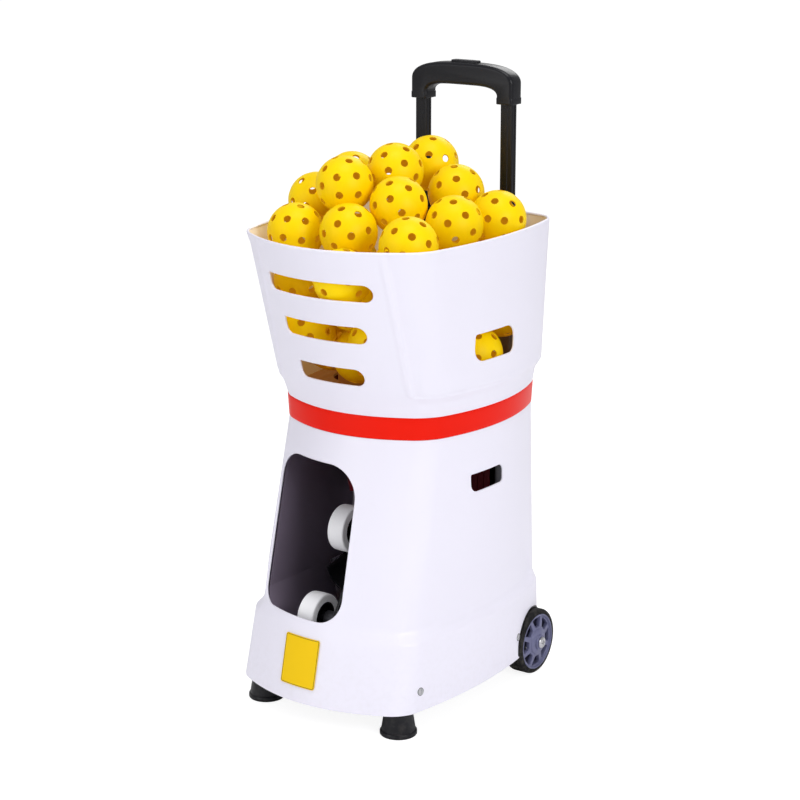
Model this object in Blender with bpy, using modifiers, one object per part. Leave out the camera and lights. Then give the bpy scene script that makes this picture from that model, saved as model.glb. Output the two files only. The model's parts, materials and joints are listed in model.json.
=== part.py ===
"""Pickleball machine on two wheels, with a full ball hopper and a pull-out handle.

The machine stands on its two front feet and two rear wheels. Its front faces -Y, +Z is up and
the origin is on the floor under the middle of its outline. All sizes are in metres.
"""
import math

import bmesh
import bpy
from mathutils import Matrix, Vector

# Clearances and walls
GAP = 0.0003
WALL = 0.003
CUT = 0.02

# Heights of the body, from the floor up
FOOT_HEIGHT = 0.0347
BASE_HEIGHT = 0.341
BAND_HEIGHT = 0.029
HOPPER_HEIGHT = 0.220
STEP_HEIGHT = 0.088
STEP_RISE = 0.013
COLLAR_HEIGHT = 0.019
LEDGE_RISE = 0.014

BASE_Z = FOOT_HEIGHT + GAP
WAIST_Z = BASE_Z + BASE_HEIGHT
BAND_TOP_Z = WAIST_Z + BAND_HEIGHT
RIM_Z = BAND_TOP_Z + HOPPER_HEIGHT

# Outline of the casing at its stations: half width and front edge of the corners
HEM_HALF_WIDTH = 0.1310
HEM_FRONT = 0.1533
SKIRT_HALF_WIDTH = 0.1284
SKIRT_FRONT = 0.1325
TRUNK_HALF_WIDTH = 0.1212
TRUNK_FRONT = 0.1260
WAIST_HALF_WIDTH = 0.1130
WAIST_FRONT = 0.0714
COLLAR_HALF_WIDTH = 0.1149
COLLAR_FRONT = 0.0717
NECK_HALF_WIDTH = 0.1190
NECK_FRONT = 0.0765
PANEL_HALF_WIDTH = 0.1290
PANEL_FRONT = 0.0795
RIM_HALF_WIDTH = 0.1385
RIM_FRONT = 0.1235
REAR_Y = 0.1773
REAR_BOW = 0.0160
REAR_BOW_POWER = 6
CORNER_RADIUS = 0.018
CORNER_STEPS = 3
FRONT_STEPS = 10
SIDE_STEPS = 8
BACK_STEPS = 8

# Openings in the casing
PORT_LEFT = -0.108
PORT_RIGHT = 0.036
PORT_SILL = 0.001
PORT_HEADROOM = 0.038
PORT_LOW = BASE_Z + STEP_HEIGHT + STEP_RISE + PORT_SILL
PORT_HIGH = WAIST_Z - PORT_HEADROOM
PORT_RADII = (0.034, 0.040, 0.034, 0.022)
SLOT_LENGTHS = (0.159, 0.1265, 0.100)
SLOT_DROPS = (0.0525, 0.109, 0.167)
SLOT_CENTRES_Z = tuple(RIM_Z - drop for drop in SLOT_DROPS)
SLOT_HEIGHT = 0.0255
WINDOW_FRONT_Y = -0.0215
WINDOW_REAR_Y = 0.0665
WINDOW_LIFT = 0.063
WINDOW_HEIGHT = 0.040
GRIP_WINDOW = (WINDOW_FRONT_Y, WINDOW_REAR_Y,
               BAND_TOP_Z + WINDOW_LIFT, BAND_TOP_Z + WINDOW_LIFT + WINDOW_HEIGHT)
GRIP_WINDOW_RADII = (0.010, 0.019, 0.005, 0.022)
VENT_FRONT_Y = -0.0120
VENT_REAR_Y = 0.0600
VENT_DROP = 0.0555
VENT_HEIGHT = 0.027
SIDE_VENT = (VENT_FRONT_Y, VENT_REAR_Y, WAIST_Z - VENT_DROP - VENT_HEIGHT, WAIST_Z - VENT_DROP)
SIDE_VENT_RADII = (0.006, 0.012, 0.004, 0.013)
OPENING_HALF_WIDTH = 0.049
OPENING_DROP = 0.052
OPENING_HEIGHT = 0.128
OPENING_TOP_Z = WAIST_Z - OPENING_DROP
REAR_OPENING = (-OPENING_HALF_WIDTH, OPENING_HALF_WIDTH, OPENING_TOP_Z - OPENING_HEIGHT, OPENING_TOP_Z)
REAR_OPENING_RADIUS = 0.008

# Waist band
BAND_WALL = 0.0030
BAND_PROUD = 0.0006

# Base plate, feet, axle and wheels
BASE_PLATE_THICKNESS = 0.004
FOOT_X = 0.1066
FOOT_Y = -0.1327
FOOT_RADIUS = 0.0240
FOOT_TOP_RADIUS = 0.0175
WHEEL_Y = 0.1413
WHEEL_RADIUS = 0.045
TYRE_WIDTH = 0.032
TYRE_OUTER_X = 0.1530
TYRE_THICKNESS = 0.0072
ARCH_CLEARANCE = 0.004
RIM_WALL = 0.0045
HUB_RADIUS = 0.0125
HUB_PROUD = 0.0015
SPOKES = 8
SPOKE_WIDTH = 0.0062
WEB_THICKNESS = 0.007
AXLE_RADIUS = 0.005
CAP_RADIUS = 0.0078
CAP_THICKNESS = 0.0035
BRACKET_X = 0.104
BRACKET_THICKNESS = 0.008

# Pull-out handle
POST_X = 0.0673
POST_Y = 0.1796
TUBE_WIDTH = 0.019
TUBE_DEPTH = 0.013
TUBE_LENGTH = 0.416
TUBE_WALL = 0.0015
SLEEVE_WALL = 0.0012
SLEEVE_TOP_DROP = 0.026
GUIDE_HEIGHT = 0.022
GUIDE_WIDTH = 0.170
GUIDE_DEPTH = 0.0170
GUIDE_SETBACK = 0.0018
HANDLE_RAISE = 0.144
LEG_Z = RIM_Z + HANDLE_RAISE
LEG_WIDTH = 0.025
GRIP_HALF_WIDTH = 0.0798
GRIP_HEIGHT = 0.0505
GRIP_ARCH_RISE = 0.0295
GRIP_TOP_Z = LEG_Z + GRIP_HEIGHT
GRIP_SIDE_Z = GRIP_TOP_Z - GRIP_ARCH_RISE
GRIP_BAR = 0.029
GRIP_DEPTH = 0.027
GRIP_ROUND = 0.005
BUTTON_LENGTH = 0.046
BUTTON_DEPTH = 0.014
BUTTON_PROUD = 0.0030
BUTTON_TRAVEL = 0.003

# Hopper floor, rotor and chute
FLOOR_THICKNESS = 0.004
ROTOR_Y = 0.055
ROTOR_RADIUS = 0.100
ROTOR_HUB_RADIUS = 0.027
ROTOR_HEIGHT = 0.018
ROTOR_FINGERS = 5
FINGER_WIDTH = 0.008
POCKET_RADIUS = 0.072
DROP_ANGLE = 190
DROP_RADIUS = 0.0405
CHUTE_WALL = 0.0025
CHUTE_FLANGE = 0.008
CHUTE_END_Y = 0.030
CHUTE_END_Z = 0.265
FEED_MOTOR_RADIUS = 0.014
FEED_MOTOR_LENGTH = 0.034

# Launch head
HEAD_X = -0.034
HEAD_Y = -0.0797
HEAD_Z = 0.1745
LAUNCH_ANGLE = 34
BALL_DIAMETER = 0.074
ROLLER_RADIUS = 0.031
ROLLER_WIDTH = 0.025
ROLLER_GAP = 0.060
TREAD_THICKNESS = 0.0105
MOTOR_RADIUS = 0.018
MOTOR_LENGTH = 0.046
NOSE_RADIUS = 0.010
SHAFT_RADIUS = 0.004
PLATE_THICKNESS = 0.004
PLATE_MARGIN = 0.026
PLATE_TAIL = 0.070
PLATE_TAIL_HEIGHT = 0.060
PIVOT_RADIUS = 0.006
GUIDE_TROUGH_WALL = 0.0025
TROUGH_START = 0.040
TROUGH_LENGTH = 0.076
TROUGH_ANGLE = 47

# Balls in the hopper: a rolled-in filling, then the heap on top as shares of the rim's half width
BALL_SPACING = BALL_DIAMETER + 2 * GAP
BALL_SIDE_CLEARANCE = 0.0012
BALL_FILL = 25
BALL_FILL_SPREAD = (0.095, 0.090)
BALL_FILL_Y = 0.020
BALL_TOP_UPS = ((0.0, -0.110),)
HEAP_SHARES = ((0.80, 0.62), (0.66, 0.10), (0.66, -0.64), (-0.08, -0.52), (-0.68, -0.52), (0.18, -0.10),
               (-0.80, -0.04), (-0.34, -0.22), (0.30, 0.68), (-0.12, 0.28), (-0.76, 0.48), (-0.14, 0.91))
NECK_RADIUS = 0.004

# Turning base of the head
YAW_Y = -0.030
BEARING_RADIUS = 0.042
BEARING_HEIGHT = 0.0080
SPINDLE_RADIUS = 0.008
YAW_TEETH = 54
YAW_TEETH_CUT = 14
YAW_PINION_TEETH = 10
YAW_PINION_ANGLE = 135
YAW_MODULE = 0.002
TURNTABLE_THICKNESS = 0.0055
YOKE_LEFT_X = -0.060
YOKE_ARM_X = 0.062
YOKE_THICKNESS = 0.005
YOKE_HALF_DEPTH = 0.025
YAW_MOTOR_RADIUS = 0.013
YAW_MOTOR_LENGTH = 0.030
SMALL_SHAFT_RADIUS = 0.003

# Pitch drive
PITCH_TEETH = 48
PITCH_PINION_TEETH = 12
PITCH_MODULE = 0.0015
SECTOR_TEETH = 15
PITCH_GEAR_THICKNESS = 0.005
PITCH_PINION_ANGLE = -45
PITCH_MOTOR_RADIUS = 0.014

# Battery, board and rear panel
BATTERY_SIZE = (0.150, 0.062, 0.070)
BATTERY_Y = 0.094
PANEL_MARGIN = 0.005
PANEL_THICKNESS = 0.003
BOARD_SIZE = (0.084, 0.0016, 0.090)
BOARD_LIFT = 0.012
STANDOFF_LENGTH = 0.008
STANDOFF_RADIUS = 0.003
STANDOFF_INSET = 0.006
DISPLAY_SIZE = (0.052, 0.022)
DISPLAY_DROP = 0.026
DISPLAY_Z = OPENING_TOP_Z - DISPLAY_DROP
ROCKER_SIZE = (0.020, 0.014)
ROCKER_X = 0.020
ROCKER_DROP = 0.098
ROCKER_Z = OPENING_TOP_Z - ROCKER_DROP
SOCKET_RADIUS = 0.0075
SOCKET_X = -0.024
KEY_RADIUS = 0.0065
KEY_X = 0.018
KEY_DROP = 0.062
KEY_Z = OPENING_TOP_Z - KEY_DROP
KEY_PROUD = 0.003
KEY_TRAVEL = 0.0015

# Label and side screws
LABEL_LEFT = -0.042
LABEL_RIGHT = 0.014
LABEL_RISE = 0.020
LABEL_HEIGHT = 0.063
LABEL_LOW = BASE_Z + LABEL_RISE
LABEL_HIGH = LABEL_LOW + LABEL_HEIGHT
LABEL_THICKNESS = 0.0006
LABEL_LIFT = 0.0010
SCREW_RADIUS = 0.0045
SCREW_SHANK_RADIUS = 0.0020
SCREW_LENGTH = 0.012
SCREW_HEAD = 0.0020
SCREW_PLACES = (("front", -0.125, 0.0610), ("rear", 0.095, 0.0655))

# Shroud behind the port
SHROUD_X = -0.1050
SHROUD_WALL = 0.0025
SHROUD_CREASE_Z = 0.153
SHROUD_FOOT_X = -0.090
SHROUD_FOOT_Z = 0.088
SHROUD_TOP_MARGIN = 0.007
SHROUD_TOP_Z = PORT_HIGH + SHROUD_TOP_MARGIN
SHROUD_RIGHT_X = 0.045
SHROUD_BACK_Y = 0.060
SHROUD_LOWER_BACK_Y = 0.005
SHROUD_TOP_BACK_Y = -0.008
SHROUD_BEND = 0.020

COLOURS = {
    "white": ((0.86, 0.85, 0.90), 0.30, 0.0),
    "band_red": ((0.85, 0.035, 0.012), 0.35, 0.0),
    "black": ((0.015, 0.015, 0.020), 0.45, 0.0),
    "tyre_black": ((0.012, 0.012, 0.013), 0.80, 0.0),
    "wheel_grey": ((0.16, 0.17, 0.26), 0.45, 0.0),
    "duct_grey": ((0.075, 0.063, 0.090), 0.55, 0.0),
    "maroon": ((0.060, 0.008, 0.012), 0.40, 0.0),
    "tread_white": ((0.72, 0.73, 0.78), 0.60, 0.0),
    "steel": ((0.60, 0.61, 0.63), 0.28, 1.0),
    "motor_grey": ((0.20, 0.20, 0.22), 0.35, 0.9),
    "gear_white": ((0.75, 0.74, 0.70), 0.50, 0.0),
    "board_green": ((0.02, 0.16, 0.07), 0.50, 0.0),
    "battery_blue": ((0.03, 0.08, 0.30), 0.45, 0.0),
    "display_glass": ((0.01, 0.02, 0.02), 0.08, 0.0),
    "label_yellow": ((0.95, 0.75, 0.02), 0.40, 0.0),
    "ball_yellow": ((0.98, 0.70, 0.01), 0.40, 0.0),
}


def start_scene():
    """Empty the scene and make the two collections."""
    for old in list(bpy.data.objects):
        bpy.data.objects.remove(old, do_unlink=True)
    parts = bpy.data.collections.new("pickleball_machine")
    cutters = bpy.data.collections.new("cutters")
    bpy.context.scene.collection.children.link(parts)
    bpy.context.scene.collection.children.link(cutters)
    return parts, cutters


PARTS, CUTTERS = start_scene()


def material(name):
    """Principled material of the named colour, made once."""
    found = bpy.data.materials.get(name)
    if found:
        return found
    colour, roughness, metallic = COLOURS[name]
    made = bpy.data.materials.new(name)
    made.use_nodes = True
    shader = made.node_tree.nodes["Principled BSDF"]
    shader.inputs["Base Color"].default_value = (*colour, 1.0)
    shader.inputs["Roughness"].default_value = roughness
    shader.inputs["Metallic"].default_value = metallic
    return made


def add_object(name, mesh, colour=None, smooth=True):
    """Link a mesh as a part, or as a hidden cutter when it has no colour."""
    thing = bpy.data.objects.new(name, mesh)
    if colour is None:
        CUTTERS.objects.link(thing)
        thing.hide_render = True
        thing.display_type = "WIRE"
        return thing
    PARTS.objects.link(thing)
    mesh.materials.append(material(colour))
    if smooth:
        mesh.shade_smooth()
        mesh.set_sharp_from_angle(angle=math.radians(35))
    return thing


def mesh_from(name, bm):
    """Turn a bmesh into a mesh with outward normals."""
    bmesh.ops.recalc_face_normals(bm, faces=bm.faces)
    mesh = bpy.data.meshes.new(name)
    bm.to_mesh(mesh)
    bm.free()
    return mesh


def box(name, low, high, colour=None):
    """Box between two corners, with its origin at its centre."""
    bm = bmesh.new()
    bmesh.ops.create_cube(bm, size=1.0)
    size = Vector(high) - Vector(low)
    bmesh.ops.scale(bm, vec=size, verts=bm.verts)
    thing = add_object(name, mesh_from(name, bm), colour, smooth=False)
    thing.location = (Vector(low) + Vector(high)) / 2
    return thing


AXIS_TURN = {"X": Matrix.Rotation(math.radians(90), 4, "Y"),
             "Y": Matrix.Rotation(math.radians(-90), 4, "X"),
             "Z": Matrix.Identity(4)}


def rod(name, radius, start, length, axis="Z", colour=None, segments=32):
    """Round bar that starts at a point and runs along +axis."""
    bm = bmesh.new()
    bmesh.ops.create_cone(bm, cap_ends=True, segments=segments, radius1=radius, radius2=radius,
                          depth=length)
    bmesh.ops.translate(bm, vec=(0, 0, length / 2), verts=bm.verts)
    bmesh.ops.transform(bm, matrix=AXIS_TURN[axis], verts=bm.verts)
    thing = add_object(name, mesh_from(name, bm), colour)
    thing.location = start
    return thing


def turned(name, profile, start, axis="Z", colour=None, steps=32, ring=False):
    """Turn a profile of (radius, height) points, outer side from top to bottom, about an axis."""
    bm = bmesh.new()
    points = [bm.verts.new((radius, 0, height)) for radius, height in profile]
    for first, second in zip(points, points[1:]):
        bm.edges.new((first, second))
    if ring:
        bm.edges.new((points[-1], points[0]))
    mesh = bpy.data.meshes.new(name)
    bm.to_mesh(mesh)
    bm.free()
    thing = add_object(name, mesh, colour, smooth=False)
    screw = thing.modifiers.new("turn", "SCREW")
    screw.axis = "Z"
    screw.steps = steps
    screw.render_steps = steps
    screw.use_merge_vertices = True
    screw.merge_threshold = 0.00001
    screw.use_smooth_shade = True
    thing.matrix_world = Matrix.Translation(start) @ AXIS_TURN[axis]
    return thing


def plate(name, outlines, thickness, plane="XY", at=(0, 0, 0), colour=None, smooth=False):
    """Flat plate from closed outlines, the later ones holes, extruded both ways from its middle.

    The plane says where the outline's two numbers go: XY, XZ or YZ.
    """
    curve = bpy.data.curves.new(name, "CURVE")
    curve.dimensions = "2D"
    curve.fill_mode = "BOTH"
    curve.extrude = thickness / 2
    for outline in outlines:
        spline = curve.splines.new("POLY")
        spline.points.add(len(outline) - 1)
        for point, (u, v) in zip(spline.points, outline):
            point.co = (u, v, 0, 1)
        spline.use_cyclic_u = True
    drawn = bpy.data.objects.new(name + "_outline", curve)
    bpy.context.scene.collection.objects.link(drawn)
    evaluated = drawn.evaluated_get(bpy.context.evaluated_depsgraph_get())
    mesh = bpy.data.meshes.new_from_object(evaluated)
    bpy.data.objects.remove(drawn, do_unlink=True)
    bpy.data.curves.remove(curve)
    bm = bmesh.new()
    bm.from_mesh(mesh)
    bpy.data.meshes.remove(mesh)
    bmesh.ops.remove_doubles(bm, verts=bm.verts, dist=0.00001)
    turn = {"XY": Matrix.Identity(4),
            "XZ": Matrix(((1, 0, 0, 0), (0, 0, -1, 0), (0, 1, 0, 0), (0, 0, 0, 1))),
            "YZ": Matrix(((0, 0, 1, 0), (1, 0, 0, 0), (0, 1, 0, 0), (0, 0, 0, 1)))}[plane]
    bmesh.ops.transform(bm, matrix=turn, verts=bm.verts)
    thing = add_object(name, mesh_from(name, bm), colour, smooth)
    thing.location = at
    return thing


def boolean(thing, other, operation="DIFFERENCE"):
    """Add a live Boolean with an exact solver."""
    step = thing.modifiers.new(other.name, "BOOLEAN")
    step.operation = operation
    step.object = other
    step.solver = "EXACT"
    return step


def cut(thing, *others):
    """Cut each of the other shapes out of a part."""
    for other in others:
        boolean(thing, other)


def join(thing, *others):
    """Add each of the other shapes to a part."""
    for other in others:
        boolean(thing, other, "UNION")


def bevel(thing, width, segments=2):
    """Round the sharp edges of a part."""
    step = thing.modifiers.new("rounded_edges", "BEVEL")
    step.width = width
    step.segments = segments
    step.limit_method = "ANGLE"
    step.angle_limit = math.radians(40)
    return step


def arc(centre_u, centre_v, radius, start, end, steps):
    """Points on an arc, both ends included, angles in degrees."""
    points = []
    for step in range(steps + 1):
        angle = math.radians(start + (end - start) * step / steps)
        points.append((centre_u + radius * math.cos(angle), centre_v + radius * math.sin(angle)))
    return points


def rounded(low_u, high_u, low_v, high_v, radii, steps=5):
    """Rectangle with its own radius at each corner: low right, high right, high left, low left."""
    if not isinstance(radii, tuple):
        radii = (radii,) * 4
    corners = ((high_u, low_v, 1, -1, -90), (high_u, high_v, 1, 1, 0),
               (low_u, high_v, -1, 1, 90), (low_u, low_v, -1, -1, 180))
    points = []
    for (u, v, sign_u, sign_v, start), radius in zip(corners, radii):
        points += arc(u - sign_u * radius, v - sign_v * radius, radius, start, start + 90, steps)
    return points


def circle(centre_u, centre_v, radius, steps=24):
    """Closed circle as a polygon."""
    return arc(centre_u, centre_v, radius, 0, 360 - 360 / steps, steps - 1)


class Station:
    """One level of the casing: a rectangle with round corners and bowed sides."""

    def __init__(self, height, half_width, front, front_bow, side_bow):
        self.height = height
        self.half_width = half_width
        self.front = -front
        self.front_bow = front_bow
        self.side_bow = side_bow

    def blend(self, other, height):
        """Station between this one and another, at a given height."""
        share = (height - self.height) / (other.height - self.height)

        def mix(first, second):
            return first + (second - first) * share

        return Station(height, mix(self.half_width, other.half_width), -mix(self.front, other.front),
                       mix(self.front_bow, other.front_bow), mix(self.side_bow, other.side_bow))

    def bowed(self, x, y, inset=0.0):
        """Move a point of the plain rectangle out to the bowed outline."""
        middle = (REAR_Y + self.front) / 2
        half_depth = (REAR_Y - self.front) / 2 - inset
        half_width = self.half_width - inset
        new_x = x + math.copysign(self.side_bow, x) * (1 - (y / half_depth) ** 2) if x else x
        if y < 0:
            new_y = y - self.front_bow * (1 - (x / half_width) ** 2)
        else:
            new_y = y + REAR_BOW * (1 - abs(x / half_width) ** REAR_BOW_POWER)
        return new_x, new_y + middle

    def outline(self, inset=0.0):
        """Closed outline, anticlockwise from above, starting at the front's right corner."""
        half_width = self.half_width - inset
        half_depth = (REAR_Y - self.front) / 2 - inset
        radius = max(CORNER_RADIUS - inset, 0.001)
        plain = []
        sides = ((1, -1, -90, SIDE_STEPS), (1, 1, 0, BACK_STEPS),
                 (-1, 1, 90, SIDE_STEPS), (-1, -1, 180, FRONT_STEPS))
        for sign_x, sign_y, start, steps in sides:
            corner = arc(sign_x * (half_width - radius), sign_y * (half_depth - radius),
                         radius, start, start + 90, CORNER_STEPS)
            plain += corner
            end = corner[-1]
            along_y = start in (-90, 90)
            for step in range(1, steps):
                share = step / steps
                if along_y:
                    plain.append((end[0], end[1] * (1 - 2 * share)))
                else:
                    plain.append((end[0] * (1 - 2 * share), end[1]))
        return [self.bowed(x, y, inset) for x, y in plain]

    def front_y(self, x):
        """Front surface at a place across the width."""
        return self.front - self.front_bow * (1 - (x / self.half_width) ** 2)

    def side_x(self, y):
        """Right-hand surface at a place along the depth."""
        middle = (REAR_Y + self.front) / 2
        half_depth = (REAR_Y - self.front) / 2
        return self.half_width + self.side_bow * (1 - ((y - middle) / half_depth) ** 2)


HEM = Station(BASE_Z, HEM_HALF_WIDTH, HEM_FRONT, 0.040, 0.021)
SKIRT = Station(BASE_Z + STEP_HEIGHT, SKIRT_HALF_WIDTH, SKIRT_FRONT, 0.040, 0.021)
TRUNK = Station(BASE_Z + STEP_HEIGHT + STEP_RISE, TRUNK_HALF_WIDTH, TRUNK_FRONT, 0.041, 0.022)
WAIST = Station(WAIST_Z - GAP, WAIST_HALF_WIDTH, WAIST_FRONT, 0.041, 0.027)
BAND_LOW = Station(WAIST_Z, WAIST_HALF_WIDTH, WAIST_FRONT, 0.041, 0.027)
BAND_HIGH = Station(BAND_TOP_Z, COLLAR_HALF_WIDTH, COLLAR_FRONT, 0.041, 0.027)
COLLAR = Station(BAND_TOP_Z + GAP, COLLAR_HALF_WIDTH, COLLAR_FRONT, 0.041, 0.027)
NECK = Station(BAND_TOP_Z + COLLAR_HEIGHT, NECK_HALF_WIDTH, NECK_FRONT, 0.043, 0.025)
PANEL = Station(BAND_TOP_Z + COLLAR_HEIGHT + LEDGE_RISE, PANEL_HALF_WIDTH, PANEL_FRONT, 0.045, 0.022)
RIM = Station(RIM_Z, RIM_HALF_WIDTH, RIM_FRONT, 0.057, 0.019)
BASE_STATIONS = (HEM, SKIRT, TRUNK, WAIST)
HOPPER_STATIONS = (COLLAR, NECK, PANEL, RIM)
REAR_OUTER_Y = REAR_Y + REAR_BOW
REAR_INNER_Y = REAR_OUTER_Y - WALL


def station_at(stations, height):
    """Station of a casing at any height between its ends."""
    for low, high in zip(stations, stations[1:]):
        if height <= high.height:
            return low.blend(high, height)
    return stations[-1]


def lofted(name, stations, inset=0.0, closed=False, colour=None):
    """Skin through the stations' outlines, closed top and bottom or left open."""
    bm = bmesh.new()
    rings = []
    for station in stations:
        rings.append([bm.verts.new((x, y, station.height)) for x, y in station.outline(inset)])
    count = len(rings[0])
    for lower, upper in zip(rings, rings[1:]):
        for index in range(count):
            after = (index + 1) % count
            bm.faces.new((lower[index], lower[after], upper[after], upper[index]))
    if closed:
        bm.faces.new(list(reversed(rings[0])))
        bm.faces.new(rings[-1])
    return add_object(name, mesh_from(name, bm), colour)


def shell(name, stations, colour):
    """Thin casing: an open skin thickened inwards."""
    thing = lofted(name, stations, colour=colour)
    wall = thing.modifiers.new("wall", "SOLIDIFY")
    wall.thickness = WALL
    wall.offset = -1.0
    wall.use_even_offset = True
    return thing


def stretched(stations, below, above):
    """Stations continued past both ends, for a cutter that has to reach through."""
    first, second = stations[0], stations[1]
    last, before = stations[-1], stations[-2]
    bottom = first.blend(second, first.height - below)
    top = before.blend(last, last.height + above)
    return (bottom, *stations, top)


def inner_space(name, stations, inset):
    """Solid that fills a casing up to its inner wall, less a margin."""
    return lofted(name, stretched(stations, CUT, CUT), inset=inset, closed=True)


def build_lower_shell():
    """White lower casing with the launch port, side vents, wheel arches and rear opening."""
    base = shell("lower_shell", BASE_STATIONS, "white")
    port = plate("port_cutter", [rounded(PORT_LEFT, PORT_RIGHT, PORT_LOW, PORT_HIGH, PORT_RADII)],
                 0.20, "XZ", at=(0, HEM.front_y(0) + 0.055, 0))
    low_y, high_y, low_z, high_z = SIDE_VENT
    vent = plate("vent_cutter", [rounded(low_y, high_y, low_z, high_z, SIDE_VENT_RADII, steps=4)],
                 0.40, "YZ")
    low_x, high_x, low_z, high_z = REAR_OPENING
    rear = plate("rear_cutter", [rounded(low_x, high_x, low_z, high_z, REAR_OPENING_RADIUS, steps=3)],
                 4 * WALL, "XZ", at=(0, REAR_OUTER_Y - WALL / 2, 0))
    cut(base, port, vent, rear, *ARCH_CUTTERS)
    for side in (1, -1):
        for place, y, z in SCREW_PLACES:
            face = station_at(BASE_STATIONS, z).side_x(y)
            hole = rod(f"screw_hole_{place}_{side}", SCREW_SHANK_RADIUS + GAP,
                       (side * face - CUT, y, z), 2 * CUT, "X", segments=12)
            start = side * (face - SCREW_HEAD / 2)
            spot = rod(f"screw_seat_{place}_{side}", SCREW_RADIUS + GAP,
                       (min(start, start + side * CUT), y, z), CUT, "X", segments=16)
            cut(base, hole, spot)
    return base


def build_side_screws():
    """Pan-head screws that hold the lower casing to the base, two on each side."""
    for side, side_name in ((1, "right"), (-1, "left")):
        for place, y, z in SCREW_PLACES:
            face = station_at(BASE_STATIONS, z).side_x(y)
            seat = face - SCREW_HEAD / 2 + GAP
            crown = SCREW_HEAD * 0.6
            profile = [(0, SCREW_HEAD), (SCREW_RADIUS * 0.7, SCREW_HEAD), (SCREW_RADIUS, crown),
                       (SCREW_RADIUS, 0), (SCREW_SHANK_RADIUS, 0),
                       (SCREW_SHANK_RADIUS, -SCREW_LENGTH), (0, -SCREW_LENGTH)]
            screw = turned(f"side_screw_{side_name}_{place}", profile, (0, 0, 0), "Z", "steel", 12)
            turn = Matrix.Rotation(math.radians(90 * side), 4, "Y")
            screw.matrix_world = Matrix.Translation((side * seat, y, z)) @ turn


def build_band():
    """Red waist band between the casing and the hopper."""
    low = Station(BAND_LOW.height, WAIST_HALF_WIDTH + BAND_PROUD, WAIST_FRONT + BAND_PROUD, 0.041, 0.027)
    high = Station(BAND_HIGH.height, COLLAR_HALF_WIDTH + BAND_PROUD, COLLAR_FRONT + BAND_PROUD,
                   0.041, 0.027)
    band = lofted("waist_band", (low, high), colour="band_red")
    wall = band.modifiers.new("wall", "SOLIDIFY")
    wall.thickness = BAND_WALL
    wall.offset = -1.0
    wall.use_even_offset = True
    return band


def build_hopper():
    """White hopper with three front slots and a hand window in each side."""
    hopper = shell("hopper_shell", HOPPER_STATIONS, "white")
    for number, (length, centre_z) in enumerate(zip(SLOT_LENGTHS, SLOT_CENTRES_Z)):
        low = centre_z - SLOT_HEIGHT / 2
        high = centre_z + SLOT_HEIGHT / 2
        end = SLOT_HEIGHT * 0.499
        outline = rounded(-length / 2, length / 2, low, high, (end, end, 0.002, SLOT_HEIGHT * 0.4), steps=4)
        slot = plate(f"slot_cutter_{number}", [outline], 0.16, "XZ", at=(0, RIM.front_y(0) + 0.05, 0))
        cut(hopper, slot)
    low_y, high_y, low_z, high_z = GRIP_WINDOW
    window = plate("window_cutter", [rounded(low_y, high_y, low_z, high_z, GRIP_WINDOW_RADII, steps=4)],
                   0.40, "YZ")
    cut(hopper, window)
    return hopper


def build_wheels():
    """Two rear wheels, each a tyre on a spoked rim with a cap over the axle's end."""
    outer = TYRE_OUTER_X
    inner = outer - TYRE_WIDTH
    bead = WHEEL_RADIUS - TYRE_THICKNESS
    shoulder = 0.006
    middle = (outer + inner) / 2
    rim_radius = bead - GAP
    half = TYRE_WIDTH / 2
    centre = (0, WHEEL_Y, WHEEL_RADIUS)
    for side, name in ((1, "right"), (-1, "left")):
        place = Matrix.Translation((side * middle, WHEEL_Y, WHEEL_RADIUS))
        turn = Matrix.Rotation(math.radians(90 * side), 4, "Y")
        tread = [(bead, half), (WHEEL_RADIUS - shoulder / 2, half),
                 (WHEEL_RADIUS - 0.0007, half - shoulder / 2),
                 (WHEEL_RADIUS, half - shoulder), (WHEEL_RADIUS, -half + shoulder),
                 (WHEEL_RADIUS - 0.0007, -half + shoulder / 2),
                 (WHEEL_RADIUS - shoulder / 2, -half), (bead, -half)]
        tyre = turned(f"tyre_{name}", tread, (0, 0, 0), "Z", "tyre_black", 40, ring=True)
        tyre.matrix_world = place @ turn
        web = WEB_THICKNESS / 2
        hub_top = half + HUB_PROUD
        bore = AXLE_RADIUS + GAP
        profile = [(bore, hub_top), (HUB_RADIUS, hub_top), (HUB_RADIUS, web), (rim_radius - RIM_WALL, web),
                   (rim_radius - RIM_WALL, half - 0.001), (rim_radius, half - 0.001),
                   (rim_radius, -half + 0.001), (rim_radius - RIM_WALL, -half + 0.001),
                   (rim_radius - RIM_WALL, -web), (HUB_RADIUS, -web), (HUB_RADIUS, -half), (bore, -half)]
        rim = turned(f"wheel_rim_{name}", profile, (0, 0, 0), "Z", "wheel_grey", 40, ring=True)
        rim.matrix_world = place @ turn
        for spoke in range(SPOKES):
            window = spoke_window(f"spoke_window_{name}_{spoke}", rim_radius - RIM_WALL - 0.0015,
                                  360 * (spoke + 0.5) / SPOKES)
            window.matrix_world = Matrix.Translation((side * middle, 0, 0)) @ Matrix.Translation(centre)
            cut(rim, window)
        cap_start = outer + HUB_PROUD + GAP
        cap = turned(f"hub_cap_{name}", [(0, CAP_THICKNESS), (CAP_RADIUS * 0.6, CAP_THICKNESS),
                                         (CAP_RADIUS, CAP_THICKNESS * 0.4), (CAP_RADIUS, 0), (0, 0)],
                     (0, 0, 0), "Z", "steel", 24)
        cap.matrix_world = Matrix.Translation((side * cap_start, WHEEL_Y, WHEEL_RADIUS)) @ turn


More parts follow.
